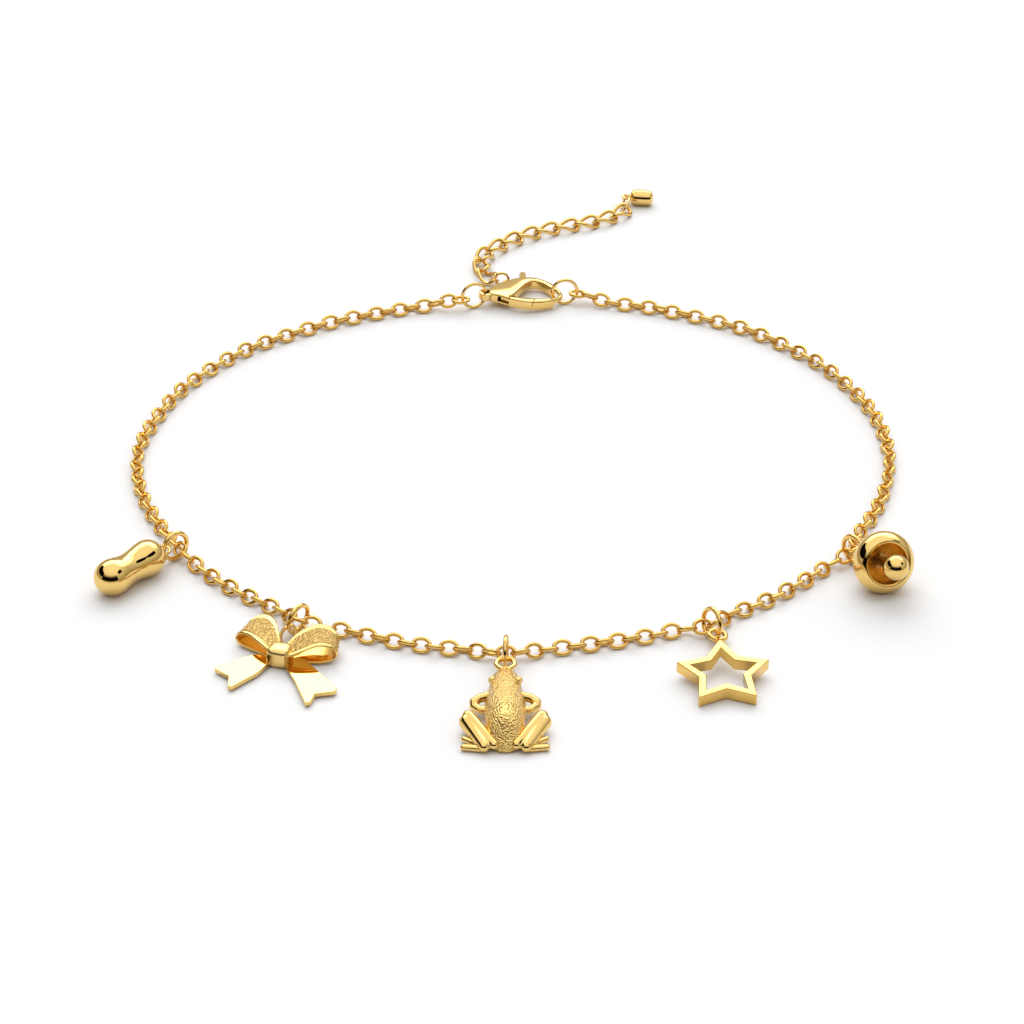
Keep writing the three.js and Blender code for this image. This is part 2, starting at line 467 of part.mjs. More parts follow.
// ------------------------------------------------------------------------------------------- lobster clasp
// Outline of the clasp from above, clockwise from its neck along the far side.
const CLASP_OUT = [
  [-4.3, 75.3], [-3.1, 76.85], [-1, 78.72], [0.8, 79.85], [2.7, 80.49], [4.8, 80.26], [6.5, 79.28], [7.9, 77.86], [8.9, 76.09], [9.35, 74.44],
  [9, 73.2], [7.9, 72.16], [5.9, 71.2], [3.8, 70.68], [1.6, 70.8], [-0.6, 71.47], [-2.5, 72.43], [-4.3, 73],
];
const CLASP_HOLE = [
  [-0.2, 72.32], [0.6, 74.12], [1.6, 76.15], [2.7, 78.09], [3.9, 79.05], [5.5, 78.45], [6.8, 77.02], [8.1, 75.88], [8.5, 74.84], [8.1, 73.2], [6.2, 72.65], [3.9, 72.25], [1.8, 72.18],
];
const EYE = { x: -5, y: 73.7, r: 1.35, hole: 0.8 };
const PIVOT = { x: -1.6, y: 73.64, pin: 0.38, bore: 0.52, hub: 1.0 };
const LEVER_Z = { bottom: 1.05, top: 1.75, gap: 0.15 };
const LUG = { x: -0.95, y: 80.43, z: 0.77, od: 1.8, wire: 0.4 };
const claspSet = new THREE.Matrix4().makeTranslation(CLASP_SET.x, CLASP_SET.y, CLASP_SET.z - CLASP_SET.drop)
  .multiply(new THREE.Matrix4().makeRotationY(rad(CLASP_SET.lift)))
  .multiply(new THREE.Matrix4().makeTranslation(-CLASP_SET.x, -CLASP_SET.y, -CLASP_SET.z));
{
  const z0 = CLASP_T.bottom, z1 = CLASP_T.top;
  const lug = ringWire(LUG.od, LUG.wire, 14, 6);
  lug.translate(LUG.x, LUG.y, LUG.z);
  let body = join([
    plate(CLASP_OUT, z0, z1, [CLASP_HOLE], 0.2),
    plate(circleXY(EYE.x, EYE.y, EYE.r, 18), z0 + 0.35, z1 - 0.25),
    plate([[-5.2, 75.18], [-3.8, 75.46], [-3.8, 73.06], [-5.2, 72.58]], z0 + 0.35, z1 - 0.25),
    lug,
    plate([[-1.55, 77.85], [-1.4, 79.57], [-0.95, 79.83], [-0.5, 79.68], [-0.35, 78.8]], LUG.z - 0.18, LUG.z + 0.14),
  ]);
  body = cut(body, [
    plate(circleXY(EYE.x, EYE.y, EYE.hole, 14), z0 - 1, z1 + 1),
    // The gate's gap in the near bar, from the hinge to the hook's tip, slanted where the gate swings in.
    plate([[-0.75, 68.75], [-0.75, 72.1], [0.3, 72.89], [4.55, 72.95], [4.5, 72.4], [3.74, 70.55], [3.4, 69.32]], z0 - 1, z1 + 1),
    // Slot through the shell for the lever, wide enough for its swing.
    plate([[-2.8, 72.09], [-2.85, 73.88], [-2.35, 74.55], [-0.35, 81.2], [2.8, 81.61], [2.75, 79.7], [1.2, 76.1], [0.2, 73.87], [1, 73.38], [1, 69.98], [-0.9, 70.33]],
      LEVER_Z.bottom - LEVER_Z.gap, LEVER_Z.top + LEVER_Z.gap),
    // The hook's bend thins from below, where the ring goes under it.
    (() => { const g = plate([[6.9, -0.5], [10.5, -0.5], [10.5, 1.6], [8.2, 1.6]], -80, -70); g.rotateX(Math.PI / 2); return g; })(),
  ]);
  body = body.add(solid(plate(circleXY(PIVOT.x, PIVOT.y, PIVOT.pin, 12), z0 + 0.1, z1 - 0.1)));
  add('clasp_body', geometryOf(body).applyMatrix4(claspSet), 0);

  let lever = join([
    plate(circleXY(PIVOT.x, PIVOT.y, PIVOT.hub, 16), LEVER_Z.bottom, LEVER_Z.top),
    plate([[-1.2, 72.89], [-0.2, 73.32], [2.5, 79.77], [2.5, 82.67], [2.15, 83.22], [1.6, 83.15], [1.25, 82.51], [1.2, 80.4], [-1.9, 74.5]], LEVER_Z.bottom, LEVER_Z.top),
    plate([[-2, 72.89], [-0.6, 73.97], [0.5, 72.31], [4.1, 72.2], [3.58, 70.8], [1.6, 71], [-0.2, 71.52]], LEVER_Z.bottom, LEVER_Z.top),
    plate([[-0.4, 72.1], [0.6, 72.38], [4.2, 72.26], [3.62, 70.72], [1.6, 70.9], [-0.3, 71.61]], z0 + 0.1, z1 - 0.1),
  ]);
  lever = cut(lever, [plate(circleXY(PIVOT.x, PIVOT.y, PIVOT.bore, 12), 0, 3)]);
  add('clasp_lever', geometryOf(lever).applyMatrix4(claspSet), 0.03);
}

// ------------------------------------------------------------------------------------------- clasp rings
const CLASP_RINGS = [
  { name: 'left_clasp_ring', x: -7.05, y: 72.75, turn: 20, tip: 3 },
  { name: 'right_clasp_ring', x: 9.84, y: 74.28, turn: 8, tip: 2 },
];
for (const { name, x, y, turn, tip } of CLASP_RINGS) {
  const reach = (CLASP_RING.od - CLASP_RING.wire) / 2, t = rad(turn), l = rad(tip);
  pose(add(name, ringWire(CLASP_RING.od, CLASP_RING.wire), 0.03), V(x, y, reach * Math.cos(l) + CLASP_RING.wire / 2 + 0.02),
    V(Math.sin(t) * Math.cos(l), -Math.cos(t) * Math.cos(l), Math.sin(l)), V(Math.cos(t), Math.sin(t), 0));
}

// ------------------------------------------------------------------------------------------- extender
{
  const ring = pose(add('extender_ring', ringWire(3.0, 0.5, 16, 6), 0.02), V(-1.95, 80.5, 1.98), V(0, -1, 0), V(1, 0, 0));
  const small = pose(add('extender_small_link', ovalWire(3.1, 1.98, 0.38, 18, 6), 0.02), V(-3.354, 81.074, 1.425), V(0.127, 0.513, 0.849), V(-0.211, 0.851, -0.482));
}
// The extender's laid route, from the clasp to the cap.
const EXTENDER = [
  { x: -3.9, y: 82.2 }, { x: -5.2, y: 84.85 }, { x: -5.75, y: 88.6 }, { x: -5.1, y: 92.2 }, { x: -2.9, y: 95.3 }, { x: 0.0, y: 98.3 },
  { x: 3.3, y: 100.7 }, { x: 7.0, y: 102.7 }, { x: 10.8, y: 104.2 }, { x: 14.7, y: 105.6 }, { x: 18.3, y: 107.4 }, { x: 21.4, y: 110.1 }, { x: 23.0, y: 114.0 },
];
{
  const route = new THREE.CatmullRomCurve3(EXTENDER.map(({ x, y }) => V(x, y, 0)), false, 'centripetal');
  const total = route.getLength(), count = 11, first = 1.75;
  for (let i = 0; i < count; i++) {
    const u = (first + i * CURB.pitch) / total, p = route.getPointAt(u), t = route.getTangentAt(u);
    const link = closedWire(ellipse(CURB.a, CURB.b, 16, (q) => CURB.twist * Math.sin(2 * q)), CURB.wire, 6);
    pose(add(`extender_link_${String(i + 1).padStart(2, '0')}`, link, 0.01 * (i % 2)), V(p.x, p.y, CURB.height), V(0, 0, 1), t);
  }
}
{
  pose(add('extender_end_link', ovalWire(5.2, 3.0, 0.46, 16, 6), 0.02), V(22.18, 113.14, 1.32), V(-0.82, 0.04, 0.57), V(0.12, 0.99, 0.1));
  const body = turned([{ s: -2.2, r: 0 }, { s: -2.2, r: 0.75 }, { s: -1.75, r: 1.42 }, { s: 1.4, r: 1.48 }, { s: 1.95, r: 1.28 }, { s: 2.25, r: 0.75 }, { s: 2.35, r: 0 }], 16);
  const loop = ringWire(1.9, 0.45, 14, 6);
  loop.rotateX(Math.PI / 2);
  loop.translate(-2.95, 0, 0);
  const m = add('extender_end_cap', geometryOf(join([body, loop])), 0.02);
  pose(m, V(25.38, 115.17, 1.55), V(0.118, 0.988, 0.099), V(1, -0.12, 0));
}

// ------------------------------------------------------------------------------------------- origin
// Bottom centre of the whole laid necklace.
laid.updateMatrixWorld(true);
const box = new THREE.Box3();
laid.traverse((o) => { if (o.isMesh) box.expandByObject(o, true); });
laid.position.set(-(box.min.x + box.max.x) / 2, -(box.min.y + box.max.y) / 2, -box.min.z);

export default root;
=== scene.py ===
"""Looks for the charm necklace: real cable links, smooth charms, satin and polished gold, on a white table."""

import bpy
import bmesh
import math
import numpy as np
from mathutils import Matrix, Vector


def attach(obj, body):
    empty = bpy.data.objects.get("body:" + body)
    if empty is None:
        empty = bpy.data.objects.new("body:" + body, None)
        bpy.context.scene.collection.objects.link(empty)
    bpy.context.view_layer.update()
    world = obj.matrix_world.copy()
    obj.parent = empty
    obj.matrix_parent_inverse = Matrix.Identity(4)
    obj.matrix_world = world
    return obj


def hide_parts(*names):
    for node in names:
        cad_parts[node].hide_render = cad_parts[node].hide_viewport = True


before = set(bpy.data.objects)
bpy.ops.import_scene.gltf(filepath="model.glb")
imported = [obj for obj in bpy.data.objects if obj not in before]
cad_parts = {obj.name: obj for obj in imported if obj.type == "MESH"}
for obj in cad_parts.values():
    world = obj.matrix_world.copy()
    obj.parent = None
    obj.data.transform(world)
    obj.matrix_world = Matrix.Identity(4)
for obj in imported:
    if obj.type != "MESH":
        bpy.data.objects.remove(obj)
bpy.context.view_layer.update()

MM = 0.001
OFFSET = np.array([1.0251, -22.4312, 0.0000])      # from the laid necklace's own millimetres to the frame's
rad = math.radians
BODY = "necklace"


# ------------------------------------------------------------------------------------------------ small tools
def V(*a):
    return np.array(a, float)


def unit(v):
    v = np.asarray(v, float)
    return v / np.linalg.norm(v)


def pose(at, normal, along):
    z = unit(normal)
    x = np.asarray(along, float) - z * np.dot(along, z)
    x = unit(x)
    y = np.cross(z, x)
    m = np.eye(4)
    m[:3, 0], m[:3, 1], m[:3, 2], m[:3, 3] = x, y, z, at
    return m


def rot(axis, deg):
    m = np.eye(4)
    m[:3, :3] = np.array(Matrix.Rotation(rad(deg), 3, axis))
    return m


def move(x, y, z):
    m = np.eye(4)
    m[:3, 3] = (x, y, z)
    return m


def apply(m, verts):
    return np.asarray(verts) @ m[:3, :3].T + m[:3, 3]


class Shell:
    """Points in millimetres and faces, with a material index for each face."""

    def __init__(self, verts=None, faces=None, mats=None):
        self.v = np.zeros((0, 3)) if verts is None else np.asarray(verts, float)
        self.f = [] if faces is None else list(faces)
        self.m = [0] * len(self.f) if mats is None else list(mats)

    def at(self, m):
        return Shell(apply(m, self.v), self.f, self.m)

    def __add__(self, other):
        k = len(self.v)
        return Shell(np.vstack([self.v, other.v]), self.f + [tuple(i + k for i in f) for f in other.f], self.m + other.m)


def catmull(points, per, closed=False):
    """Centripetal Catmull-Rom through the points, with `per` steps to a span."""
    p = np.asarray(points, float)
    n = len(p)
    out = []
    spans = n if closed else n - 1
    for i in range(spans):
        if closed:
            p0, p1, p2, p3 = p[(i - 1) % n], p[i], p[(i + 1) % n], p[(i + 2) % n]
        else:
            p1, p2 = p[i], p[i + 1]
            p0 = p[i - 1] if i > 0 else 2 * p1 - p2
            p3 = p[i + 2] if i + 2 < n else 2 * p2 - p1
        d0, d1, d2 = (max(np.sum((b - a) ** 2) ** 0.25, 1e-6) for a, b in ((p0, p1), (p1, p2), (p2, p3)))
        t1 = ((p1 - p0) / d0 - (p2 - p0) / (d0 + d1) + (p2 - p1) / d1) * d1
        t2 = ((p2 - p1) / d1 - (p3 - p1) / (d1 + d2) + (p3 - p2) / d2) * d1
        for k in range(per):
            t = k / per
            out.append(p1 + t1 * t + (-3 * p1 + 3 * p2 - 2 * t1 - t2) * t * t + (2 * p1 - 2 * p2 + t1 + t2) * t ** 3)
    if not closed:
        out.append(p[-1])
    return np.array(out)


def tube(points, wire, sides=12):
    """A round wire along a closed line of points."""
    p = np.asarray(points, float)
    n = len(p)
    mid = p.mean(0)
    t = np.roll(p, -1, 0) - np.roll(p, 1, 0)
    t /= np.linalg.norm(t, axis=1)[:, None]
    out = p - mid
    out -= t * np.sum(out * t, 1)[:, None]
    out /= np.linalg.norm(out, axis=1)[:, None]
    up = np.cross(t, out)
    a = np.arange(sides) * 2 * math.pi / sides
    v = p[:, None] + (wire / 2) * (out[:, None] * np.cos(a)[None, :, None] + up[:, None] * np.sin(a)[None, :, None])
    f = []
    for i in range(n):
        for j in range(sides):
            k, l = (j + 1) % sides, (i + 1) % n
            f.append((i * sides + j, i * sides + k, l * sides + k, l * sides + j))
    return Shell(v.reshape(-1, 3), f)


def oval(a, b, n, lift=lambda q: 0 * q):
    q = np.arange(n) * 2 * math.pi / n
    return np.stack([a * np.cos(q), b * np.sin(q), lift(q)], 1)


def ring(od, wire, n=64, sides=16):
    return tube(oval((od - wire) / 2, (od - wire) / 2, n), wire, sides)


def oval_link(length, width, wire, n=56, sides=14):
    return tube(oval((length - wire) / 2, (width - wire) / 2, n), wire, sides)


def lathe(rows, sides=72):
    """Turned about X, from rows of (distance, radius) that start and end on the axis."""
    rows = [(s, max(r, 0)) for s, r in rows]
    a = np.arange(sides) * 2 * math.pi / sides
    v, f = [(rows[0][0], 0, 0)], []
    for s, r in rows[1:-1]:
        v += [(s, r * math.cos(q), r * math.sin(q)) for q in a]
    v.append((rows[-1][0], 0, 0))
    n = len(rows) - 2
    for j in range(sides):
        k = (j + 1) % sides
        f.append((0, 1 + k, 1 + j))
        for i in range(n - 1):
            f.append((1 + i * sides + j, 1 + i * sides + k, 1 + (i + 1) * sides + k, 1 + (i + 1) * sides + j))
        f.append((1 + (n - 1) * sides + j, 1 + (n - 1) * sides + k, len(v) - 1))
    return Shell(v, f)


def limb(p, q, rp, rq, sides=22, caps=7):
    p, q = V(*p), V(*q)
    t = unit(q - p)
    side = unit(np.cross(t, (1, 0, 0) if abs(t[2]) > 0.9 else (0, 0, 1)))
    up = np.cross(side, t)
    rows = [(p - t * rp * math.sin(rad(a)), rp * math.cos(rad(a))) for a in np.linspace(88, 0, caps)]
    rows += [(q + t * rq * math.sin(rad(a)), rq * math.cos(rad(a))) for a in np.linspace(0, 88, caps)]
    a = np.arange(sides) * 2 * math.pi / sides
    v = np.array([c + r * (np.cos(a)[:, None] * side + np.sin(a)[:, None] * up) for c, r in rows]).reshape(-1, 3)
    f = []
    for i in range(len(rows) - 1):
        for j in range(sides):
            k = (j + 1) % sides
            f.append((i * sides + j, i * sides + k, (i + 1) * sides + k, (i + 1) * sides + j))
    f.append(tuple(range(sides)))
    f.append(tuple(reversed(range((len(rows) - 1) * sides, len(rows) * sides))))
    return Shell(v, f)


def build(name, shell, mats, body=BODY, replaces=(), smooth=True, outward=True):
    me = bpy.data.meshes.new(name)
    v = (shell.v + OFFSET) * MM
    me.from_pydata(v.tolist(), [], [list(f) for f in shell.f])
    for m in mats:
        me.materials.append(m)
    me.polygons.foreach_set("material_index", shell.m)
    me.polygons.foreach_set("use_smooth", [smooth] * len(me.polygons))
    o = bpy.data.objects.new(name, me)
    bpy.context.scene.collection.objects.link(o)
    if outward:
        bm = bmesh.new()
        bm.from_mesh(me)
        bmesh.ops.recalc_face_normals(bm, faces=bm.faces)
        bm.to_mesh(me)
        bm.free()
    me.update()
    if body:
        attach(o, body)
        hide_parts(*(replaces or (name,)))
    return o


def area_normals(o):
    """Shade by the larger faces, so flat faces with small rounded edges stay flat."""
    me = o.data
    n = np.zeros((len(me.vertices), 3))
    for p in me.polygons:
        n[list(p.vertices)] += np.array(p.normal) * p.area
    n /= np.maximum(np.linalg.norm(n, axis=1), 1e-12)[:, None]
    me.normals_split_custom_set_from_vertices([tuple(q) for q in n])


def flat(outline, z0, z1, bevel, holes=(), steps=4):
    """A filled outline with round edges, as a shell in millimetres."""
    cu = bpy.data.curves.new("tmp", "CURVE")
    cu.dimensions = "2D"
    cu.fill_mode = "BOTH"
    for pts in [outline, *holes]:
        sp = cu.splines.new("POLY")
        sp.points.add(len(pts) - 1)
        for i, (x, y) in enumerate(pts):
            sp.points[i].co = (x, y, 0, 1)
        sp.use_cyclic_u = True
    cu.extrude = (z1 - z0) / 2 - bevel
    cu.bevel_depth = bevel
    cu.bevel_resolution = steps
    cu.offset = -bevel
    o = bpy.data.objects.new("tmp", cu)
    bpy.context.scene.collection.objects.link(o)
    bpy.context.view_layer.update()
    dg = bpy.context.evaluated_depsgraph_get()
    me = bpy.data.meshes.new_from_object(o.evaluated_get(dg))
    bm = bmesh.new()
    bm.from_mesh(me)
    bmesh.ops.remove_doubles(bm, verts=bm.verts, dist=1e-4)
    bmesh.ops.translate(bm, verts=bm.verts, vec=(0, 0, (z0 + z1) / 2))
    bmesh.ops.recalc_face_normals(bm, faces=bm.faces)
    v = np.array([x.co[:] for x in bm.verts])
    bm.verts.index_update()
    f = [tuple(q.index for q in face.verts) for face in bm.faces]
    bm.free()
    bpy.data.objects.remove(o)
    bpy.data.curves.remove(cu)
    bpy.data.meshes.remove(me)
    return Shell(v, f)


def prism(outline, z0, z1):
    n = len(outline)
    v = [(x, y, z0) for x, y in outline] + [(x, y, z1) for x, y in outline]
    f = [tuple(range(n)), tuple(range(2 * n - 1, n - 1, -1))]
    f += [(i, (i + 1) % n, n + (i + 1) % n, n + i) for i in range(n)]
    return Shell(v, f)


def temp_object(shell, name="tool"):
    me = bpy.data.meshes.new(name)
    me.from_pydata(shell.v.tolist(), [], [list(f) for f in shell.f])
    o = bpy.data.objects.new(name, me)
    bpy.context.scene.collection.objects.link(o)
    bm = bmesh.new()
    bm.from_mesh(me)
    bmesh.ops.recalc_face_normals(bm, faces=bm.faces)
    bm.to_mesh(me)
    bm.free()
    return o


def boolean(shell, op, tools):
    """shell op tools, with exact booleans, all in millimetres."""
    o = temp_object(shell, "base")
    made = []
    for t in tools:
        q = temp_object(t)
        made.append(q)
        m = o.modifiers.new("b", "BOOLEAN")
        m.operation, m.object, m.solver = op, q, "EXACT"
    bpy.context.view_layer.update()
    dg = bpy.context.evaluated_depsgraph_get()
    me = bpy.data.meshes.new_from_object(o.evaluated_get(dg))
    v = np.array([x.co[:] for x in me.vertices])
    f = [tuple(p.vertices) for p in me.polygons]
    for q in made + [o]:
        bpy.data.objects.remove(q)
    bpy.data.meshes.remove(me)
    return Shell(v, f)


def remeshed(shell, voxel, relax=4, factor=0.5):
    """One skin over overlapping shells, softened a little, in millimetres."""
    o = temp_object(shell, "skin")
    m = o.modifiers.new("r", "REMESH")
    m.mode, m.voxel_size, m.use_smooth_shade = "VOXEL", voxel, True
    if relax:
        s = o.modifiers.new("s", "SMOOTH")
        s.iterations, s.factor = relax, factor
    bpy.context.view_layer.update()
    dg = bpy.context.evaluated_depsgraph_get()
    me = bpy.data.meshes.new_from_object(o.evaluated_get(dg))
    v = np.array([x.co[:] for x in me.vertices])
    f = [tuple(p.vertices) for p in me.polygons]
    bpy.data.objects.remove(o)
    bpy.data.meshes.remove(me)
    return Shell(v, f)


# ------------------------------------------------------------------------------------------------ materials
def gold(name, color, rough, wave=0.0, grain=0.0, grain_size=6000, blotch=0.25, stipple=0.0, stipple_size=3200, depth=0.0001):
    """Plated gold: colour and polish vary softly over it, with hairline wear, and grain or stipple where asked."""
    m = bpy.data.materials.new(name)
    m.use_nodes = True
    nt = m.node_tree
    nt.nodes.clear()
    N = nt.nodes.new
    L = nt.links.new
    out = N("ShaderNodeOutputMaterial")
    b = N("ShaderNodeBsdfPrincipled")
    L(b.outputs[0], out.inputs[0])
    b.inputs["Metallic"].default_value = 1.0
    tc = N("ShaderNodeTexCoord")
    soft = N("ShaderNodeTexNoise")
    soft.inputs["Scale"].default_value = 220
    soft.inputs["Detail"].default_value = 3
    L(tc.outputs["Object"], soft.inputs["Vector"])
    ramp = N("ShaderNodeMix")
    ramp.data_type = "RGBA"
    deep = [c * (1 - blotch * k) for c, k in zip(color, (0.18, 0.32, 0.6))]
    ramp.inputs[6].default_value = (*color, 1)
    ramp.inputs[7].default_value = (*deep, 1)
    L(soft.outputs["Fac"], ramp.inputs[0])
    L(ramp.outputs[2], b.inputs["Base Color"])
    fine = N("ShaderNodeTexNoise")
    fine.inputs["Scale"].default_value = 1500
    fine.inputs["Detail"].default_value = 6
    fine.inputs["Roughness"].default_value = 0.65
    L(tc.outputs["Object"], fine.inputs["Vector"])
    mr = N("ShaderNodeMapRange")
    mr.inputs["From Min"].default_value = 0.3
    mr.inputs["From Max"].default_value = 0.75
    mr.inputs["To Min"].default_value = rough * 0.8
    mr.inputs["To Max"].default_value = rough * 1.35
    L(fine.outputs["Fac"], mr.inputs["Value"])
    L(mr.outputs[0], b.inputs["Roughness"])
    last = None
    for strength, size, kind in ((wave, 420, "noise"), (grain, grain_size, "noise"), (stipple, stipple_size, "cell")):
        if not strength:
            continue
        if kind == "noise":
            t = N("ShaderNodeTexNoise")
            t.inputs["Scale"].default_value = size
            t.inputs["Detail"].default_value = 4
            h = t.outputs["Fac"]
        else:
            t = N("ShaderNodeTexVoronoi")
            t.inputs["Scale"].default_value = size
            h = t.outputs["Distance"]
        L(tc.outputs["Object"], t.inputs["Vector"])
        bump = N("ShaderNodeBump")
        bump.inputs["Strength"].default_value = strength
        bump.inputs["Distance"].default_value = depth
        bump.invert = kind == "cell"
        L(h, bump.inputs["Height"])
        if last:
            L(last, bump.inputs["Normal"])
        last = bump.outputs[0]
    if last:
        L(last, b.inputs["Normal"])
    return m


GOLD = (0.87, 0.61, 0.22)
polished = gold("gold_polished", GOLD, 0.035, wave=0.015)
chain_gold = gold("gold_chain", (0.85, 0.55, 0.165), 0.085, wave=0.05, blotch=0.4)
ring_gold = gold("gold_rings", (0.87, 0.59, 0.2), 0.07, wave=0.03)
satin = gold("gold_satin", (0.87, 0.62, 0.235), 0.22, grain=0.2, grain_size=9000)
star_gold = gold("gold_star", (0.86, 0.575, 0.175), 0.12, grain=0.12, grain_size=9000)
stipple = gold("gold_stippled", (0.74, 0.505, 0.18), 0.26, stipple=1.0, stipple_size=3000, depth=0.0002)
frog_gold = gold("gold_frog", (0.84, 0.585, 0.21), 0.10, stipple=1.0, stipple_size=3000, depth=0.00016)
# painted shade: a deeper, darker gold for the inside of the bow's loops, standing in for the shade and bounce light in
# the hollows
inner_gold_painted_shade = gold("gold_inside_painted_shade", (0.84, 0.51, 0.13), 0.07, wave=0.03)
bell_inside = gold("gold_bell_inside", (0.93, 0.64, 0.22), 0.28, wave=0.03)

# ------------------------------------------------------------------------------------------------ the laid chain
LOOP_CENTRE_Y = 16.05
REST_Z, RING_LIFT = 1.06, 1.85
LOOP = [
    (100.75, 56.9), (106.5, 57.7), (115.7, 58.4), (129.4, 60.1), (142.0, 62.1), (155.0, 63.7), (169.0, 64.7), (179.0, 65.2),
    (190.0, 64.6), (201.0, 63.5), (214.0, 62.9), (227.0, 61.9), (240.0, 61.2), (254.0, 60.5), (268.0, 60.6), (281.0, 59.9),
    (295.0, 60.4), (309.0, 61.4), (322.0, 62.6), (335.0, 63.4), (349.0, 64.7), (362.0, 65.8), (377.0, 65.9), (393.0, 64.9),
    (408.0, 63.2), (423.0, 60.7), (432.0, 59.7), (437.15, 59.95)]
RINGS = [
    ("peanut_jump_ring", -56.2, -15.35, 40, 0, 0.9), ("bow_jump_ring", -34.64, -37.42, 51.7, -6, 0.9), ("frog_jump_ring", -1.0, -47.0, 87, 0, 0.9),
    ("star_jump_ring", 32.29, -38.71, 121.5, -10, 0.9), ("bell_jump_ring", 56.94, -16.42, 131, -1.5, 0.9)]
JUMP = dict(od=5.5, wire=0.8)

line = catmull([V(r * math.cos(rad(d)), LOOP_CENTRE_Y + r * math.sin(rad(d)), 0) for d, r in LOOP], 160)
run = np.concatenate([[0], np.cumsum(np.linalg.norm(np.diff(line, axis=0), axis=1))])
LENGTH = run[-1]


def loop_at(s):
    return np.array([np.interp(s, run, line[:, k]) for k in range(3)])


def ease(x):
    t = min(max(x, 0), 1)
    return t * t * (3 - 2 * t)


crossings = []
for name, x, y, turn, tip, hold in RINGS:
    n = V(math.sin(rad(turn)), -math.cos(rad(turn)), 0)
    out = unit(V(x, y - LOOP_CENTRE_Y, 0))
    d = unit(out - n * np.dot(out, n))
    held = V(x, y, 0) - hold * d
    i = int(np.argmin(np.linalg.norm(line - held, axis=1)))
    crossings.append((run[i], held - line[i], n, d))


def chain_at(s):
    p = loop_at(min(max(s, 0), LENGTH)).copy()
    z = REST_Z
    for cs, shift, n, d in crossings:
        w = 1 - ease((abs(cs - s) - 0.5) / 5.5)
        p += shift * w
        z += (RING_LIFT - REST_Z) * w
    z += (2.1 - REST_Z) * (1 - ease(s / 7)) + (1.9 - REST_Z) * (1 - ease((LENGTH - s) / 6))
    p[2] = z
    return p


def tangent(s):
    return unit(chain_at(min(s + 0.2, LENGTH)) - chain_at(max(s - 0.2, 0)))


LINK = dict(length=3.56, width=2.9, wire=0.66, pitch=2.29, end=1.05)
count = round((LENGTH + 2 * LINK["end"]) / LINK["pitch"]) + 1
one = tube(oval((LINK["length"] - LINK["wire"]) / 2, (LINK["width"] - LINK["wire"]) / 2, 26), LINK["wire"], 10)
links = Shell()
parts_v, parts_f, base = [], [], 0
for i in range(count):
    s = -LINK["end"] + i * (LENGTH + 2 * LINK["end"]) / (count - 1)
    t = tangent(min(max(s, 0), LENGTH))
    p = chain_at(min(max(s, 0), LENGTH))
    if s < 0:
        t = unit(t * (1, 1, 0.3))
        p = p + t * s
    if s > LENGTH:
        t = unit(t * (1, 1, 0.3))
        p = p + t * (s - LENGTH)
    side = unit(V(-t[1], t[0], 0))
    up = np.cross(t, side)
    wob = 5 * math.sin(i * 2.399) + 3 * math.sin(i * 0.73)
    roll = 0 if i in (0, count - 1) else (42 if i % 2 else -42) + wob
    lowest = (LINK["width"] - LINK["wire"]) / 2 * abs(math.sin(rad(roll))) + LINK["wire"] / 2 + 0.03
    p[2] = max(p[2], lowest)
    normal = up * math.cos(rad(roll)) + side * math.sin(rad(roll))
    sh = one.at(pose(p, normal, t))
    parts_v.append(sh.v)
    parts_f += [tuple(k + base for k in f) for f in one.f]
    base += len(one.v)
build("chain_links", Shell(np.vstack(parts_v), parts_f), [chain_gold], replaces=("chain",), outward=False)

# ------------------------------------------------------------------------------------------------ jump rings
for (name, x, y, turn, tip, hold), (cs, shift, n, d) in zip(RINGS, crossings):
    normal = n * math.cos(rad(tip)) + V(0, 0, math.sin(rad(tip)))
    reach = (JUMP["od"] - JUMP["wire"]) / 2
    at = V(x, y, reach * math.cos(rad(tip)) + JUMP["wire"] / 2 + 0.02)
    build(name + "_wire", ring(**JUMP).at(pose(at, normal, d)), [ring_gold], replaces=(name,))
for name, x, y, turn, tip in (("left_clasp_ring", -7.05, 72.75, 20, 3), ("right_clasp_ring", 9.84, 74.28, 8, 2)):
    t, l = rad(turn), rad(tip)
    at = V(x, y, (5.3 - 0.6) / 2 * math.cos(l) + 0.3 + 0.02)
    build(name + "_wire", ring(5.3, 0.6).at(pose(at, (math.sin(t) * math.cos(l), -math.cos(t) * math.cos(l), math.sin(l)), (math.cos(t), math.sin(t), 0))),
          [ring_gold], replaces=(name,))

# ------------------------------------------------------------------------------------------------ peanut
PEANUT = [(-7.06, 0), (-6.82, 1.24), (-6.15, 2.2), (-5.15, 2.86), (-3.97, 3.09), (-2.9, 2.99), (-1.5, 2.71), (-0.2, 2.58), (1.2, 2.7),
          (2.75, 2.98), (3.97, 3.08), (5.15, 2.85), (6.15, 2.19), (6.81, 1.23), (7.05, 0)]


def mirrored_profile(rows, per):
    """A turned profile that meets its axis square on at both ends."""
    pts = [(rows[1][0], -rows[1][1])] + list(rows) + [(rows[-2][0], -rows[-2][1])]
    c = catmull([V(s, r, 0) for s, r in pts], per)[per:-per]
    c = [(p[0], abs(p[1])) for p in c]
    return [rows[0]] + c[1:-1] + [rows[-1]]


far, near = V(-65.76, -25.48, 3.11), V(-60.49, -19.54, 3.1)
peanut = lathe(mirrored_profile(PEANUT, 6), 80) + ring(2.7, 0.5, 48, 14).at(move(7.62, 0, -0.3))
build("peanut_body", peanut.at(pose((far + near) / 2, (0, 0, 1), near - far)), [polished], replaces=("peanut_charm",))

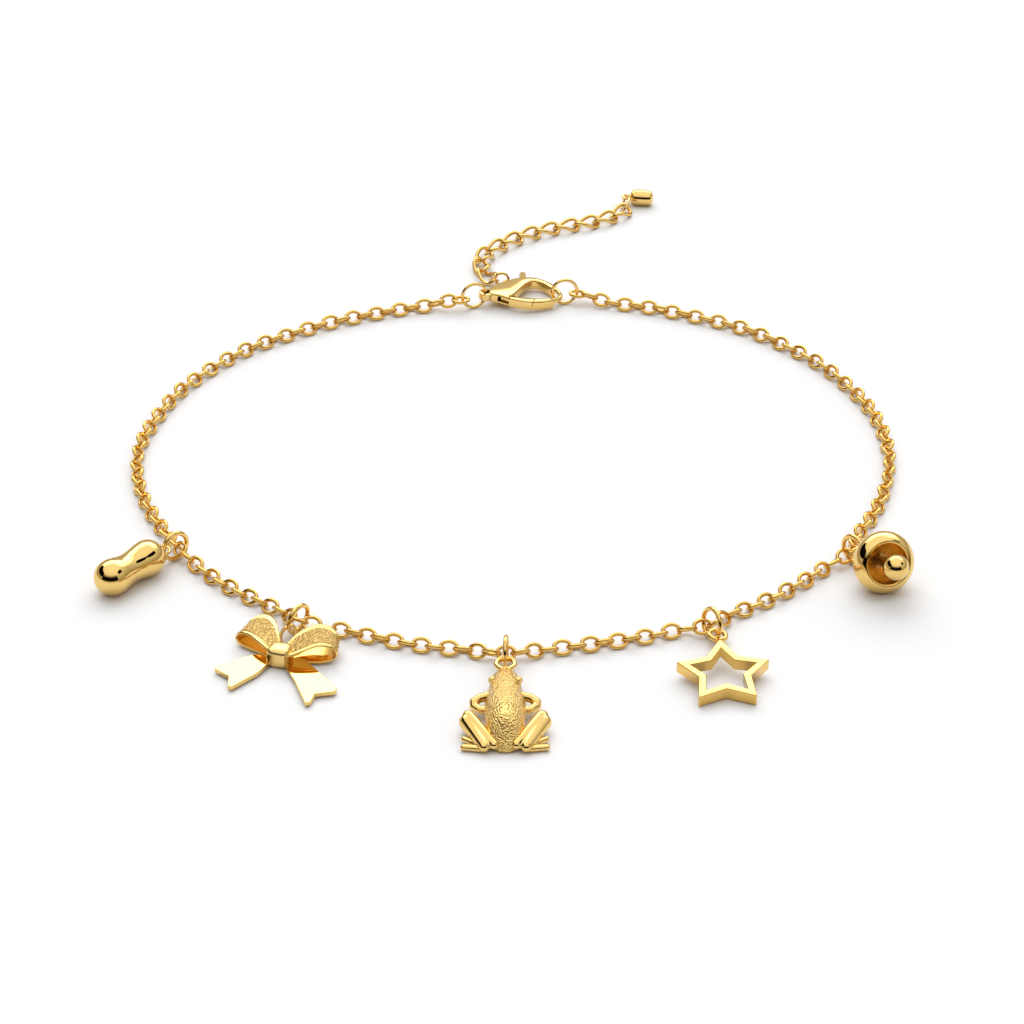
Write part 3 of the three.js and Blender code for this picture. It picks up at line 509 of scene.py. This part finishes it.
# ------------------------------------------------------------------------------------------------ bow
BOW_RIGHT = [
    (0.6, -0.9, 2.3, 0.7, 2.4, 2.6), (2.3, -0.9, 2.8, 1.3, 4.6, 3.1), (4.0, 0.1, 3.3, 2.7, 6.6, 3.6), (6.0, 1.6, 3.7, 4.4, 7.8, 3.8),
    (7.6, 2.3, 3.5, 6.2, 7.8, 3.6), (8.8, 2.7, 2.7, 7.7, 7.2, 2.8), (9.1, 2.7, 1.6, 8.1, 6.9, 1.6), (8.4, 2.3, 0.75, 7.4, 6.8, 0.7),
    (6.8, 1.5, 0.4, 5.8, 6.6, 0.3), (4.6, 0.9, 0.35, 3.4, 5.2, 0.3), (0.6, -0.2, 0.5, 0.7, 2.4, 0.4)]
BOW_LEFT = [
    (-0.6, -0.4, 2.3, -0.5, 2.6, 2.6), (-2.4, 0.2, 2.8, -1.5, 4.8, 3.1), (-4.2, 1.4, 3.0, -2.9, 7.4, 3.3), (-6.0, 2.8, 2.9, -4.6, 8.8, 3.3),
    (-7.6, 3.4, 2.6, -6.2, 8.6, 3.1), (-8.5, 3.6, 1.9, -7.4, 7.4, 2.4), (-8.6, 3.4, 1.2, -7.7, 7.0, 1.4), (-7.9, 2.9, 0.6, -7.0, 6.8, 0.6),
    (-6.2, 2.3, 0.35, -5.2, 6.4, 0.3), (-4.2, 1.6, 0.35, -3.0, 5.0, 0.3), (-0.6, 0.3, 0.5, -0.5, 2.6, 0.4)]
BOW_TAILS = [
    [(-1.0, -0.9), (-1.6, 0.9), (-4.4, 0.2), (-9.0, -4.6), (-8.9, -5.4), (-6.1, -6.7), (-5.3, -9.3), (-4.6, -9.5), (-2.0, -4.6)],
    [(1.0, -0.9), (2.1, 1.2), (4.5, 0.9), (11.6, -5.3), (11.5, -6.2), (8.7, -7.7), (8.7, -10.0), (8.0, -10.5), (4.4, -5.0)]]
RIBBON = 0.42


def ribbon_loop(rows, per=5):
    """A folded ribbon with a rolled rim along both edges. Faces: 0 the outside, 1 the rims, 2 the inside, which takes a
    deeper, darker gold as painted shade.
    """
    f = catmull([V(*r[:3]) for r in rows], per)
    b = catmull([V(*r[3:]) for r in rows], per)
    mid = (f.mean(0) + b.mean(0)) / 2
    n = len(f)
    us = [0, 0.03, 0.075, 0.12, 0.16, 0.3, 0.5, 0.7, 0.84, 0.88, 0.925, 0.97, 1]
    rise = [-0.05, 0.09, 0.13, 0.09, 0.0, 0.03, 0.05, 0.03, 0.0, 0.09, 0.13, 0.09, -0.05]
    v = []
    for i in range(n):
        p, q = max(i - 1, 0), min(i + 1, n - 1)
        go = f[q] + b[q] - f[p] - b[p]
        inward = unit(np.cross(go, b[i] - f[i]))
        if np.dot(inward, mid - (f[i] + b[i]) / 2) < 0:
            inward = -inward
        for u, h in zip(us, rise):
            v.append(f[i] * (1 - u) + b[i] * u - inward * (h - 0.1))
        for u in reversed(us):
            v.append(f[i] * (1 - u) + b[i] * u + inward * RIBBON * (0.75 if u in (0, 1) else 1))
    k = 2 * len(us)
    faces, mats = [], []
    for i in range(n - 1):
        for j in range(k):
            l = (j + 1) % k
            faces.append((i * k + j, i * k + l, (i + 1) * k + l, (i + 1) * k + j))
            # the inside faces (2) get the darker gold, painted shade for the hollow of each loop
            mats.append(0 if 4 <= j < 8 else (2 if j >= len(us) and j < k - 1 else 1))
    faces += [tuple(range(k)), tuple(reversed(range((n - 1) * k, n * k)))]
    mats += [1, 1]
    return Shell(v, faces, mats)


def pillow(half, power, n=40):
    """A rounded block."""
    def sp(c, e):
        return np.sign(c) * np.abs(c) ** e
    u = np.linspace(-math.pi / 2, math.pi / 2, n)
    w = np.arange(2 * n) * math.pi / n
    v, f = [], []
    for a in u:
        for b in w:
            v.append((half[0] * sp(math.cos(a), power) * sp(math.cos(b), power), half[1] * sp(math.cos(a), power) * sp(math.sin(b), power), half[2] * sp(math.sin(a), power)))
    m = 2 * n
    for i in range(n - 1):
        for j in range(m):
            k = (j + 1) % m
            f.append((i * m + j, i * m + k, (i + 1) * m + k, (i + 1) * m + j))
    return Shell(v, f)


bow = ribbon_loop(BOW_RIGHT) + ribbon_loop(BOW_LEFT)
knot = pillow((1.95, 1.85, 1.76), 0.55).at(move(0.1, 0.3, 1.72))
knot.m = [3] * len(knot.f)
bow = bow + knot
for t in BOW_TAILS:
    s = flat(t, 0.3, 1.05, 0.14, steps=3)
    s.m = [1] * len(s.f)
    bow = bow + s
bow = bow.at(move(-37.36, -46.68, 0.02) @ rot("Z", -16))
bow_bail = oval_link(7.9, 2.9, 0.62).at(pose((-36.12, -41.2, 2.0), (-0.04, 0.12, 0.99), (0.06, 0.99, -0.12)))
bow_bail.m = [1] * len(bow_bail.f)
bow = bow + bow_bail
area_normals(build("bow_ribbon", bow, [stipple, polished, inner_gold_painted_shade, satin], replaces=("bow_charm",)))

# ------------------------------------------------------------------------------------------------ frog
FROG = [
    (1.1, 0.9, 0.8, 0.3), (1.5, 1.55, 1.45, 0.15), (2.2, 2.1, 2.2, 0.1), (3.2, 2.5, 3.1, 0), (4.3, 2.8, 4.05, 0), (5.6, 3.02, 4.75, 0),
    (6.8, 3.12, 5.05, 0), (8.2, 3.25, 5, 0), (9.8, 3.3, 4.7, 0), (11.2, 3.22, 4.3, 0), (13, 2.95, 3.85, 0), (15, 2.68, 3.45, 0),
    (16.6, 2.5, 3.05, 0), (18, 2.3, 2.6, 0), (19.3, 1.98, 2.05, 0), (20.3, 1.55, 1.6, 0.05), (21, 1.1, 1.3, 0.2), (21.9, 0.6, 1.15, 0.35)]
FROG_LEG = [(1.75, 1.9, 1.15, 0.8, 5.7, 7.8, 1.95, 1.12), (5.9, 7.0, 1.5, 1.36, 3.3, 1.7, 0.95, 0.95)]
FROG_FOOT = [(3.6, 1.6, 0.6, 0.58, 6.5, 2, 0.56, 0.52), (4.1, 2.6, 0.6, 0.56, 6.4, 4, 0.54, 0.5)]
FROG_ARM = [(2.6, 13.2, 1.8, 0.8, 4.1, 13.1, 1.4, 0.74), (4.1, 13.1, 1.4, 0.74, 4.95, 12.55, 1.1, 0.74), (4.95, 12.55, 1.1, 0.74, 4.9, 11.75, 0.85, 0.74), (4.9, 11.75, 0.85, 0.74, 4.15, 11.1, 0.8, 0.7), (4.15, 11.1, 0.8, 0.7, 2.9, 10.7, 0.9, 0.66)]


def frog_body():
    """A plump body: each section is an oval, flat below."""
    rows = catmull([V(y, w, h) for y, w, h, b in FROG], 5)
    low = catmull([V(y, b, 0) for y, w, h, b in FROG], 5)
    n = 72
    v, f = [], []
    for (y, w, h), (_, b, _) in zip(rows, low):
        for j in range(n):
            a = j * 2 * math.pi / n
            v.append((w * math.cos(a), y, max(b + (h - b) * (0.43 + 0.57 * math.sin(a)), b * 0.5 + 0.02 * math.cos(a) ** 2)))
    for i in range(len(rows) - 1):
        for j in range(n):
            k = (j + 1) % n
            f.append((i * n + j, i * n + k, (i + 1) * n + k, (i + 1) * n + j))
    f += [tuple(range(n)), tuple(reversed(range((len(rows) - 1) * n, len(rows) * n)))]
    return Shell(v, f)


def frog_limbs(rows, side):
    s = None
    for x0, y0, z0, r0, x1, y1, z1, r1 in rows:
        part = limb((side * x0, y0, z0), (side * x1, y1, z1), r0, r1)
        s = part if s is None else s + part
    s = remeshed(s, 0.12, relax=6, factor=0.6)
    s.v[:, 2] = np.maximum(s.v[:, 2], 0.0)
    return s


frog = frog_body()
for q in (1, -1):
    frog = frog + limb((q * 2.0, 16.4, 2.3), (q * 2.1, 16.5, 2.4), 0.64, 0.64)
frog.m = [0] * len(frog.f)
for q in (1, -1):
    for rows in (FROG_LEG, FROG_FOOT, FROG_ARM):
        part = frog_limbs(rows, q)
        part.m = [1] * len(part.f)
        frog = frog + part
frog_bail = ring(3.7, 0.85, 64, 20).at(move(0, 22.85, 0.72))
frog_bail.m = [1] * len(frog_bail.f)
frog = frog + frog_bail
build("frog_body", frog.at(move(-1.05, -72.5, -0.08) @ rot("X", 4)), [frog_gold, polished], replaces=("frog_charm",))

# ------------------------------------------------------------------------------------------------ open star
STAR = dict(tip=7.87, notch=4.4, hole_tip=5.63, hole_notch=3.08, thick=2.1, tilt=6.6, yaw=2.9)


def star_points(R, r, soft=0.0):
    pts = []
    for i in range(10):
        a, q = rad(90 - 36 * i), (r if i % 2 else R)
        pts.append(np.array([q * math.cos(a), q * math.sin(a)]))
    out = []
    for i, p in enumerate(pts):
        if soft and i % 2 == 0:
            for side in (-1, 1):
                d = pts[(i + side) % 10] - p
                out.append(tuple(p + d / np.linalg.norm(d) * soft))
            out.insert(-1, tuple(p + (pts[(i + 1) % 10] + pts[i - 1] - 2 * p) * 0.5 * soft / np.linalg.norm(pts[i - 1] - p) * 0.45))
        else:
            out.append(tuple(p))
    return out


star = flat(star_points(STAR["tip"], STAR["notch"], 0.35), -STAR["thick"], 0, 0.2, [star_points(STAR["hole_tip"], STAR["hole_notch"])], steps=4)
low = -STAR["tip"] * math.cos(rad(36)) * math.sin(rad(STAR["tilt"])) - STAR["thick"] * math.cos(rad(STAR["tilt"]))
star_at = move(33.67, -52.5, 0.02 - low) @ rot("Z", STAR["yaw"]) @ rot("X", STAR["tilt"])
star_bail = (ring(3.6, 0.86, 56, 18) + limb((-1.3, 0, 0), (-4.7, 0, 0.9), 0.43, 0.6)).at(pose((33.14, -40.51, 1.61), (0.145, 0, 0.989), (0, 1, 0)))
area_normals(build("star_frame", star.at(star_at) + star_bail, [star_gold], replaces=("star_charm",)))

# ------------------------------------------------------------------------------------------------ bell
BELL_OUT = [(-4.51, 0), (-4.31, 1.38), (-3.63, 2.86), (-2.45, 4.14), (-1.18, 4.92), (0, 5.2), (0.98, 5.04), (1.76, 4.58), (2.21, 4.14)]
BELL_LIP = [(2.35, 3.79), (2.16, 3.45)]
BELL_IN = [(0.59, 3.69), (-0.98, 3.35), (-2.25, 2.46), (-3.04, 1.18), (-3.14, 0)]
CLAPPER = dict(start=-3.3, stem=0.85, ball=2.15, centre=5.85)
BELL_POSE = dict(x=61.17, y=-23.84, z=5.0, turn=16, tip=22.4)
t, l = rad(BELL_POSE["turn"]), rad(BELL_POSE["tip"])
bell_at = pose((BELL_POSE["x"], BELL_POSE["y"], BELL_POSE["z"]), (-math.sin(t) * math.sin(l), math.cos(t) * math.sin(l), math.cos(l)),
               (math.sin(t) * math.cos(l), -math.cos(t) * math.cos(l), math.sin(l)))
profile = catmull([V(s, r, 0) for s, r in [(-4.31, -1.38)] + BELL_OUT + BELL_LIP + BELL_IN + [(-3.04, -1.18)]], 5)[5:-5]
profile = [(BELL_OUT[0][0], 0)] + [(p[0], abs(p[1])) for p in profile[1:-1]] + [(BELL_IN[-1][0], 0)]
bell = lathe(profile, 112)
per_side = len(bell.f) // 112
bell.m = [1 if i % per_side > 50 else 0 for i in range(len(bell.f))]
ball = [(CLAPPER["centre"] + CLAPPER["ball"] * math.sin(rad(a)), CLAPPER["ball"] * math.cos(rad(a))) for a in np.linspace(-68, 86, 30)]
clapper = lathe([(CLAPPER["start"], 0), (CLAPPER["start"], CLAPPER["stem"]), (CLAPPER["centre"] - 2.2, CLAPPER["stem"])] + ball + [(CLAPPER["centre"] + CLAPPER["ball"], 0)], 64)
bell_bail = oval_link(4.3, 3.4, 0.6).at(pose((58.9, -18.75, 2.35), (-0.42, -0.38, 0.82), (0.67, -0.73, 0.1)))
clapper.m = [0] * len(clapper.f)
bell_bail.m = [0] * len(bell_bail.f)
build("bell_body", bell.at(bell_at) + clapper.at(bell_at) + bell_bail, [polished, bell_inside], replaces=("bell_charm",))

# ------------------------------------------------------------------------------------------------ lobster clasp
CLASP_OUT = [
    (-4.3, 75.3), (-3.1, 76.85), (-1, 78.72), (0.8, 79.85), (2.7, 80.49), (4.8, 80.26), (6.5, 79.28), (7.9, 77.86), (8.9, 76.09), (9.35, 74.44),
    (9, 73.2), (7.9, 72.16), (5.9, 71.2), (3.8, 70.68), (1.6, 70.8), (-0.6, 71.47), (-2.5, 72.43), (-4.3, 73)]
CLASP_HOLE = [
    (-0.2, 72.32), (0.6, 74.12), (1.6, 76.15), (2.7, 78.09), (3.9, 79.05), (5.5, 78.45), (6.8, 77.02), (8.1, 75.88), (8.5, 74.84), (8.1, 73.2),
    (6.2, 72.65), (3.9, 72.25), (1.8, 72.18)]
EYE = dict(x=-5, y=73.7, r=1.35, hole=0.8)
PIVOT = dict(x=-1.6, y=73.64, pin=0.38, bore=0.52, hub=1.0)
LEVER = dict(bottom=1.05, top=1.75, gap=0.15)
LUG = dict(x=-0.95, y=80.43, z=0.77, od=1.8, wire=0.4)
clasp_set = move(9, 74, 0.1) @ rot("Y", 4.5) @ move(-9, -74, -0.3)
Z0, Z1 = 0.3, 2.3


def circle(cx, cy, r, n=48):
    return [(cx + r * math.cos(i * 2 * math.pi / n), cy + r * math.sin(i * 2 * math.pi / n)) for i in range(n)]


def rounded(pts, per=5):
    return [tuple(p[:2]) for p in catmull([V(x, y, 0) for x, y in pts], per, closed=True)]


clasp = boolean(flat(rounded(CLASP_OUT), Z0, Z1, 0.42, [rounded(CLASP_HOLE, 4)], steps=5), "UNION", [
    flat(circle(EYE["x"], EYE["y"], EYE["r"]), Z0 + 0.35, Z1 - 0.25, 0.2, steps=3),
    prism([(-5.2, 75.18), (-3.8, 75.46), (-3.8, 73.06), (-5.2, 72.58)], Z0 + 0.42, Z1 - 0.32),
    ring(LUG["od"], LUG["wire"], 36, 12).at(move(LUG["x"], LUG["y"], LUG["z"])),
    prism([(-1.55, 77.85), (-1.4, 79.57), (-0.95, 79.83), (-0.5, 79.68), (-0.35, 78.8)], LUG["z"] - 0.18, LUG["z"] + 0.14),
])
wedge = prism([(6.9, -0.5), (10.5, -0.5), (10.5, 1.6), (8.2, 1.6)], -80, -70).at(rot("X", 90))
clasp = boolean(clasp, "DIFFERENCE", [
    prism(circle(EYE["x"], EYE["y"], EYE["hole"]), Z0 - 1, Z1 + 1),
    prism([(-0.75, 68.75), (-0.75, 72.1), (0.3, 72.89), (4.5, 72.95), (4.42, 72.4), (3.7, 70.55), (3.3, 69.32)], Z0 - 1, Z1 + 1),
    prism([(-2.8, 72.09), (-2.85, 73.88), (-2.35, 74.55), (-0.35, 81.2), (2.8, 81.61), (2.75, 79.7), (1.2, 76.1), (0.2, 73.87), (1, 73.38), (1, 69.98), (-0.9, 70.33)],
          LEVER["bottom"] - LEVER["gap"], LEVER["top"] + LEVER["gap"]),
    wedge,
])
clasp = clasp + prism(circle(PIVOT["x"], PIVOT["y"], PIVOT["pin"], 24), Z0 + 0.1, Z1 - 0.1)
clasp_o = build("clasp_shell", clasp.at(clasp_set), [polished], replaces=("clasp_body",), smooth=False)

lever = boolean(flat(circle(PIVOT["x"], PIVOT["y"], PIVOT["hub"]), LEVER["bottom"], LEVER["top"], 0.06, steps=2), "UNION", [
    flat([(-1.2, 72.89), (-0.2, 73.32), (2.5, 79.77), (2.5, 82.67), (2.15, 83.22), (1.6, 83.15), (1.25, 82.51), (1.2, 80.4), (-1.9, 74.5)], LEVER["bottom"], LEVER["top"], 0.1, steps=3),
    flat([(-2, 72.89), (-0.6, 73.97), (0.5, 72.31), (4.1, 72.15), (3.6, 70.85), (1.6, 71), (-0.2, 71.52)], LEVER["bottom"], LEVER["top"], 0.05, steps=2),
    flat([(-0.66, 72.08), (0.4, 72.32), (1.8, 72.2), (4.28, 72.24), (3.67, 70.7), (2.7, 70.68), (1.6, 70.82), (0.4, 71.1), (-0.66, 71.52)], Z0 + 0.02, Z1 - 0.02, 0.3, steps=5),
])
lever = boolean(lever, "DIFFERENCE", [prism(circle(PIVOT["x"], PIVOT["y"], PIVOT["bore"], 32), 0, 3)])
lever_o = build("clasp_gate", lever.at(clasp_set), [polished], body="clasp_lever", replaces=("clasp_lever",), smooth=False)
for o in (clasp_o, lever_o):
    for p in o.data.polygons:
        p.use_smooth = True
    o.data.set_sharp_from_angle(angle=rad(38))

# ------------------------------------------------------------------------------------------------ extender
build("extender_ring_wire", ring(3.0, 0.5).at(pose((-1.95, 80.5, 1.98), (0, -1, 0), (1, 0, 0))), [ring_gold], replaces=("extender_ring",))
build("extender_small_link_wire", oval_link(3.1, 1.98, 0.38).at(pose((-3.354, 81.074, 1.425), (0.127, 0.513, 0.849), (-0.211, 0.851, -0.482))), [ring_gold],
      replaces=("extender_small_link",))
EXTENDER = [(-3.9, 82.2), (-5.2, 84.85), (-5.75, 88.6), (-5.1, 92.2), (-2.9, 95.3), (0.0, 98.3), (3.3, 100.7), (7.0, 102.7), (10.8, 104.2), (14.7, 105.6), (18.3, 107.4), (21.4, 110.1), (23.0, 114.0)]
CURB = dict(a=2.46, b=1.46, twist=0.65, wire=0.74, pitch=4.11, height=1.03, first=1.75)
route = catmull([V(x, y, 0) for x, y in EXTENDER], 120)
rlen = np.concatenate([[0], np.cumsum(np.linalg.norm(np.diff(route, axis=0), axis=1))])
for i in range(11):
    s = CURB["first"] + i * CURB["pitch"]
    p = np.array([np.interp(s, rlen, route[:, k]) for k in range(3)])
    q = np.array([np.interp(s + 0.1, rlen, route[:, k]) for k in range(3)])
    name = "extender_link_%02d" % (i + 1)
    link = tube(oval(CURB["a"], CURB["b"], 56, lambda a: CURB["twist"] * np.sin(2 * a)), CURB["wire"], 14)
    build(name + "_wire", link.at(pose((p[0], p[1], CURB["height"]), (0, 0, 1), q - p)), [ring_gold], replaces=(name,))
build("extender_end_link_wire", oval_link(5.2, 3.0, 0.46).at(pose((22.18, 113.14, 1.32), (-0.82, 0.04, 0.57), (0.12, 0.99, 0.1))), [ring_gold],
      replaces=("extender_end_link",))
CAP = [(-2.2, 0), (-2.2, 0.65), (-2.12, 0.86), (-1.75, 1.4), (1.4, 1.48), (1.95, 1.28), (2.25, 0.75), (2.35, 0)]
cap_rows = [CAP[0], CAP[1]] + [(p[0], p[1]) for p in catmull([V(s, r, 0) for s, r in CAP[1:]], 6)][1:-1] + [CAP[-1]]
cap = lathe(cap_rows, 56) + ring(1.9, 0.45, 40, 12).at(move(-2.95, 0, 0) @ rot("X", 90))
build("extender_cap", cap.at(pose((25.38, 115.17, 1.55), (0.118, 0.988, 0.099), (1, -0.12, 0))), [polished], replaces=("extender_end_cap",))

# ------------------------------------------------------------------------------------------------ table, light, camera
floor_me = bpy.data.meshes.new("table")
S = 6.0
floor_me.from_pydata([(-S, -S, 0), (S, -S, 0), (S, S, 0), (-S, S, 0)], [], [(0, 1, 2, 3)])
floor = bpy.data.objects.new("table", floor_me)
bpy.context.scene.collection.objects.link(floor)
fm = bpy.data.materials.new("table_white")
fm.use_nodes = True
fb = fm.node_tree.nodes["Principled BSDF"]
fb.inputs["Base Color"].default_value = (0.836, 0.835, 0.852, 1)
fb.inputs["Roughness"].default_value = 0.75
fb.inputs["Specular IOR Level"].default_value = 0.1
floor_me.materials.append(fm)

world = bpy.data.worlds.new("studio")
bpy.context.scene.world = world
world.use_nodes = True
wn = world.node_tree
wn.nodes.clear()
wo = wn.nodes.new("ShaderNodeOutputWorld")
bg = wn.nodes.new("ShaderNodeBackground")
wn.links.new(bg.outputs[0], wo.inputs[0])
tc = wn.nodes.new("ShaderNodeTexCoord")
sep = wn.nodes.new("ShaderNodeSeparateXYZ")
wn.links.new(tc.outputs["Generated"], sep.inputs[0])
sky = wn.nodes.new("ShaderNodeValToRGB")
e = sky.color_ramp.elements
e[0].position, e[0].color = 0.0, (0.50, 0.40, 0.26, 1)
e[1].position, e[1].color = 1.0, (1.9, 1.9, 1.87, 1)
for pos, c in ((0.05, (0.60, 0.52, 0.38, 1)), (0.22, (0.80, 0.76, 0.66, 1)), (0.50, (1.15, 1.13, 1.08, 1)), (0.75, (1.6, 1.6, 1.57, 1))):
    q = e.new(pos)
    q.color = c
wn.links.new(sep.outputs["Z"], sky.inputs[0])


def math_node(op, a, b=None, clamp=False):
    n = wn.nodes.new("ShaderNodeMath")
    n.operation, n.use_clamp = op, clamp
    for i, v in enumerate((a, b)):
        if v is None:
            continue
        if isinstance(v, (int, float)):
            n.inputs[i].default_value = v
        else:
            wn.links.new(v, n.inputs[i])
    return n.outputs[0]


def blend_in(under, factor, color):
    n = wn.nodes.new("ShaderNodeMix")
    n.data_type = "RGBA"
    wn.links.new(under, n.inputs[6])
    n.inputs[7].default_value = color
    wn.links.new(factor, n.inputs[0])
    return n.outputs[2]


el = math_node("ARCSINE", sep.outputs["Z"])
# a bright soft box behind the necklace, with a clean lower edge
back = math_node("ARCTAN2", sep.outputs["X"], sep.outputs["Y"])
ba = math_node("POWER", math_node("ABSOLUTE", math_node("DIVIDE", back, rad(62))), 2.0)
rise = math_node("DIVIDE", math_node("SUBTRACT", el, rad(28.2)), rad(2.8), clamp=True)
fall = math_node("DIVIDE", math_node("SUBTRACT", rad(61), el), rad(18), clamp=True)
box = math_node("MULTIPLY", math_node("MULTIPLY", math_node("SUBTRACT", 1.0, ba), 1.05, clamp=True), math_node("MULTIPLY", rise, fall))
lit = blend_in(sky.outputs[0], box, (6.0, 6.0, 5.95, 1))
# the dark room in front: sharp at the table's edge, fading upwards
az = math_node("ARCTAN2", sep.outputs["X"], math_node("MULTIPLY", sep.outputs["Y"], -1.0))
da = math_node("POWER", math_node("ABSOLUTE", math_node("DIVIDE", math_node("ADD", az, rad(8)), rad(56))), 4.0)
wide = math_node("MULTIPLY", math_node("SUBTRACT", 1.0, da), 3.0, clamp=True)
edge = math_node("MULTIPLY", math_node("SUBTRACT", el, rad(5)), 40.0, clamp=True)
fade = math_node("SUBTRACT", 1.0, math_node("DIVIDE", math_node("SUBTRACT", el, rad(27)), rad(16)), clamp=True)
dark = math_node("MULTIPLY", math_node("MULTIPLY", wide, edge), fade)
tent = blend_in(lit, dark, (0.006, 0.005, 0.004, 1))
# dark gaps between the tent's walls: a wide one on the left, which runs into the dark room, and a small one on the right
for mid_az, half_az, mid_el, half_el in ((-94, 38, 30, 14), (80, 17, 42, 9)):
    ga = math_node("POWER", math_node("ABSOLUTE", math_node("DIVIDE", math_node("SUBTRACT", az, rad(mid_az)), rad(half_az))), 4.0)
    ge = math_node("POWER", math_node("ABSOLUTE", math_node("DIVIDE", math_node("SUBTRACT", el, rad(mid_el)), rad(half_el))), 4.0)
    gap = math_node("MULTIPLY", math_node("SUBTRACT", 1.0, math_node("ADD", ga, ge)), 3.0, clamp=True)
    tent = blend_in(tent, gap, (0.006, 0.005, 0.004, 1))
wn.links.new(tent, bg.inputs["Color"])
bg.inputs["Strength"].default_value = 0.66


def area(name, at, target, size, power, size_y=None):
    d = bpy.data.lights.new(name, "AREA")
    d.shape = "RECTANGLE"
    d.size, d.size_y, d.energy = size, size_y or size, power
    d.color = (0.93, 0.965, 1.0)
    o = bpy.data.objects.new(name, d)
    bpy.context.scene.collection.objects.link(o)
    o.location = at
    o.rotation_euler = (Vector(target) - Vector(at)).to_track_quat("-Z", "Y").to_euler()
    o.visible_glossy = False
    return o


area("top_box", (-0.10, 0.35, 1.25), (0, 0, 0), 0.9, 2.6, 0.7)
area("left_box", (-1.1, -0.1, 0.75), (0, 0, 0), 0.5, 0.6, 0.7)

scene = bpy.context.scene
scene.view_settings.view_transform = "Standard"
scene.view_settings.look = "None"
scene.view_settings.exposure = 0.0
E, D, F = rad(31.6), 650.0, 3809.0
cam = bpy.data.cameras.new("camera")
cam.sensor_width = 36
cam.lens = 36 * F / 1024
cam.clip_start, cam.clip_end = 0.02, 30
cam_o = bpy.data.objects.new("camera", cam)
scene.collection.objects.link(cam_o)
look = (V(0, 0, 0) + OFFSET) * MM
at = (V(0, -D * math.cos(E), D * math.sin(E)) + OFFSET) * MM
cam_o.location = at
cam_o.rotation_euler = (Vector(look) - Vector(at)).to_track_quat("-Z", "Y").to_euler()
scene.camera = cam_o
